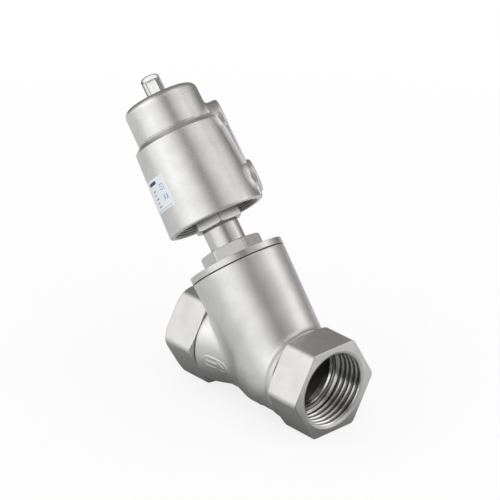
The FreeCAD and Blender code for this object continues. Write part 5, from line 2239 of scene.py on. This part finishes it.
@dataclass
class Studio:
    """Soft lamps, a floor, and a room of white panels and soft grey sides for the metal to show.

    A panel is a turn about the valve's axis, in degrees from the front, and a level.
    """

    room_light: float = 0.84
    front: tuple[float, float, float] = (0.62, -0.62, 0.47)
    panels: tuple[tuple[float, float], ...] = (
        (-180.0, 0.20), (-144.0, 0.12), (-120.0, 0.54), (-94.0, 0.98), (-50.0, 1.0), (-20.0, 1.0),
        (0.0, 0.66), (11.0, 0.27), (27.0, 0.14), (44.0, 0.38), (66.0, 0.64), (96.0, 0.66),
        (112.0, 0.44), (128.0, 0.18), (150.0, 0.20), (180.0, 0.26))
    warmth: float = 0.06
    overhead_span: tuple[float, float] = (0.40, 0.90)
    overhead_share: float = 0.80
    overhead_tone: Colour = (0.20, 0.19, 0.18)
    middle: tuple[float, float, float] = (0.03, 0.0, 0.06)

    def panel_tone(self, chain: NodeChain, turn: object) -> bpy.types.NodeSocket:
        """The panels' colours round the axis, darker ones a little warmer.

        Args:
            chain: The world's node chain.
            turn: The turn about the axis, in radians.

        Returns:
            The colour.
        """
        ramp = chain.add("ValToRGB")
        stops = ramp.color_ramp.elements
        ramp.color_ramp.interpolation = "EASE"
        while len(stops) < len(self.panels):
            stops.new(0.5)
        for stop, (degrees, level) in zip(stops, self.panels):
            stop.position = degrees / 360.0 + 0.5
            fall = self.warmth * (1.0 - level)
            stop.color = (level, level * (1.0 - fall), level * (1.0 - 2.0 * fall), 1.0)
        chain.link(chain.math("MULTIPLY_ADD", turn, 1 / (2 * math.pi), 0.5), ramp.inputs[0])
        return ramp.outputs["Color"]

    def room(self) -> None:
        """The world: white to the camera. Metal and clear plastic see tall panels round the valve's axis."""
        world = bpy.data.worlds.new("studio_room")
        world.use_nodes = True
        bpy.context.scene.world = world
        chain = NodeChain(world.node_tree)
        back = world.node_tree.nodes["Background"]
        direction = chain.add("TexCoord").outputs["Generated"]
        axis = Vector(STEM_AXIS.along)
        ahead = Vector(self.front) - axis * axis.dot(Vector(self.front))
        ahead.normalize()
        turn = chain.math("ARCTAN2", chain.dot(direction, axis.cross(ahead)), chain.dot(direction, ahead))
        rays = chain.add("LightPath").outputs
        shiny = chain.math("MAXIMUM", rays["Is Glossy Ray"], rays["Is Transmission Ray"])
        overhead = chain.span(chain.dot(direction, axis), *self.overhead_span, 0.0, self.overhead_share)
        tone = chain.mix(overhead, self.panel_tone(chain, turn), (*self.overhead_tone, 1.0))
        chain.link(chain.mix(shiny, grey(1.0), tone), back.inputs["Color"])
        full = chain.math("MAXIMUM", rays["Is Camera Ray"], shiny)
        strength = chain.math("MULTIPLY_ADD", full, 1.0 - self.room_light, self.room_light)
        chain.link(strength, back.inputs["Strength"])

    def build(self) -> None:
        """Sets the room, the floor and the lamps."""
        self.room()
        StudioFloor().build()
        SoftLamp("left_soft_lamp", (-0.45, -0.85, 0.75), self.middle, 1.0, 1.6).build()
        SoftLamp("top_soft_lamp", (0.35, 0.10, 1.00), self.middle, 0.8, 0.9).build()
        SoftLamp("right_soft_lamp", (0.56, 0.62, 0.38), (0.09, 0.0, 0.01), 0.45, 0.36).build()
        bpy.context.scene.view_settings.view_transform = "Standard"


def main() -> None:
    """Builds the valve's looks in order: camera, plain pieces, body, head, spanner hexagons, springs, studio.
    """
    logging.basicConfig(level=logging.INFO, format="%(name)s: %(message)s")
    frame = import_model()
    PhotoCamera().build()
    shop = Workshop(frame["nodes"], FinishShelf())
    PlainPieces(shop).build()
    ValveCasting(shop).build()
    ActuatorHousing(shop).build()
    SpannerHexagons(shop).build()
    ReturnSprings(shop).build()
    Studio().build()


if __name__ == "__main__":
    main()
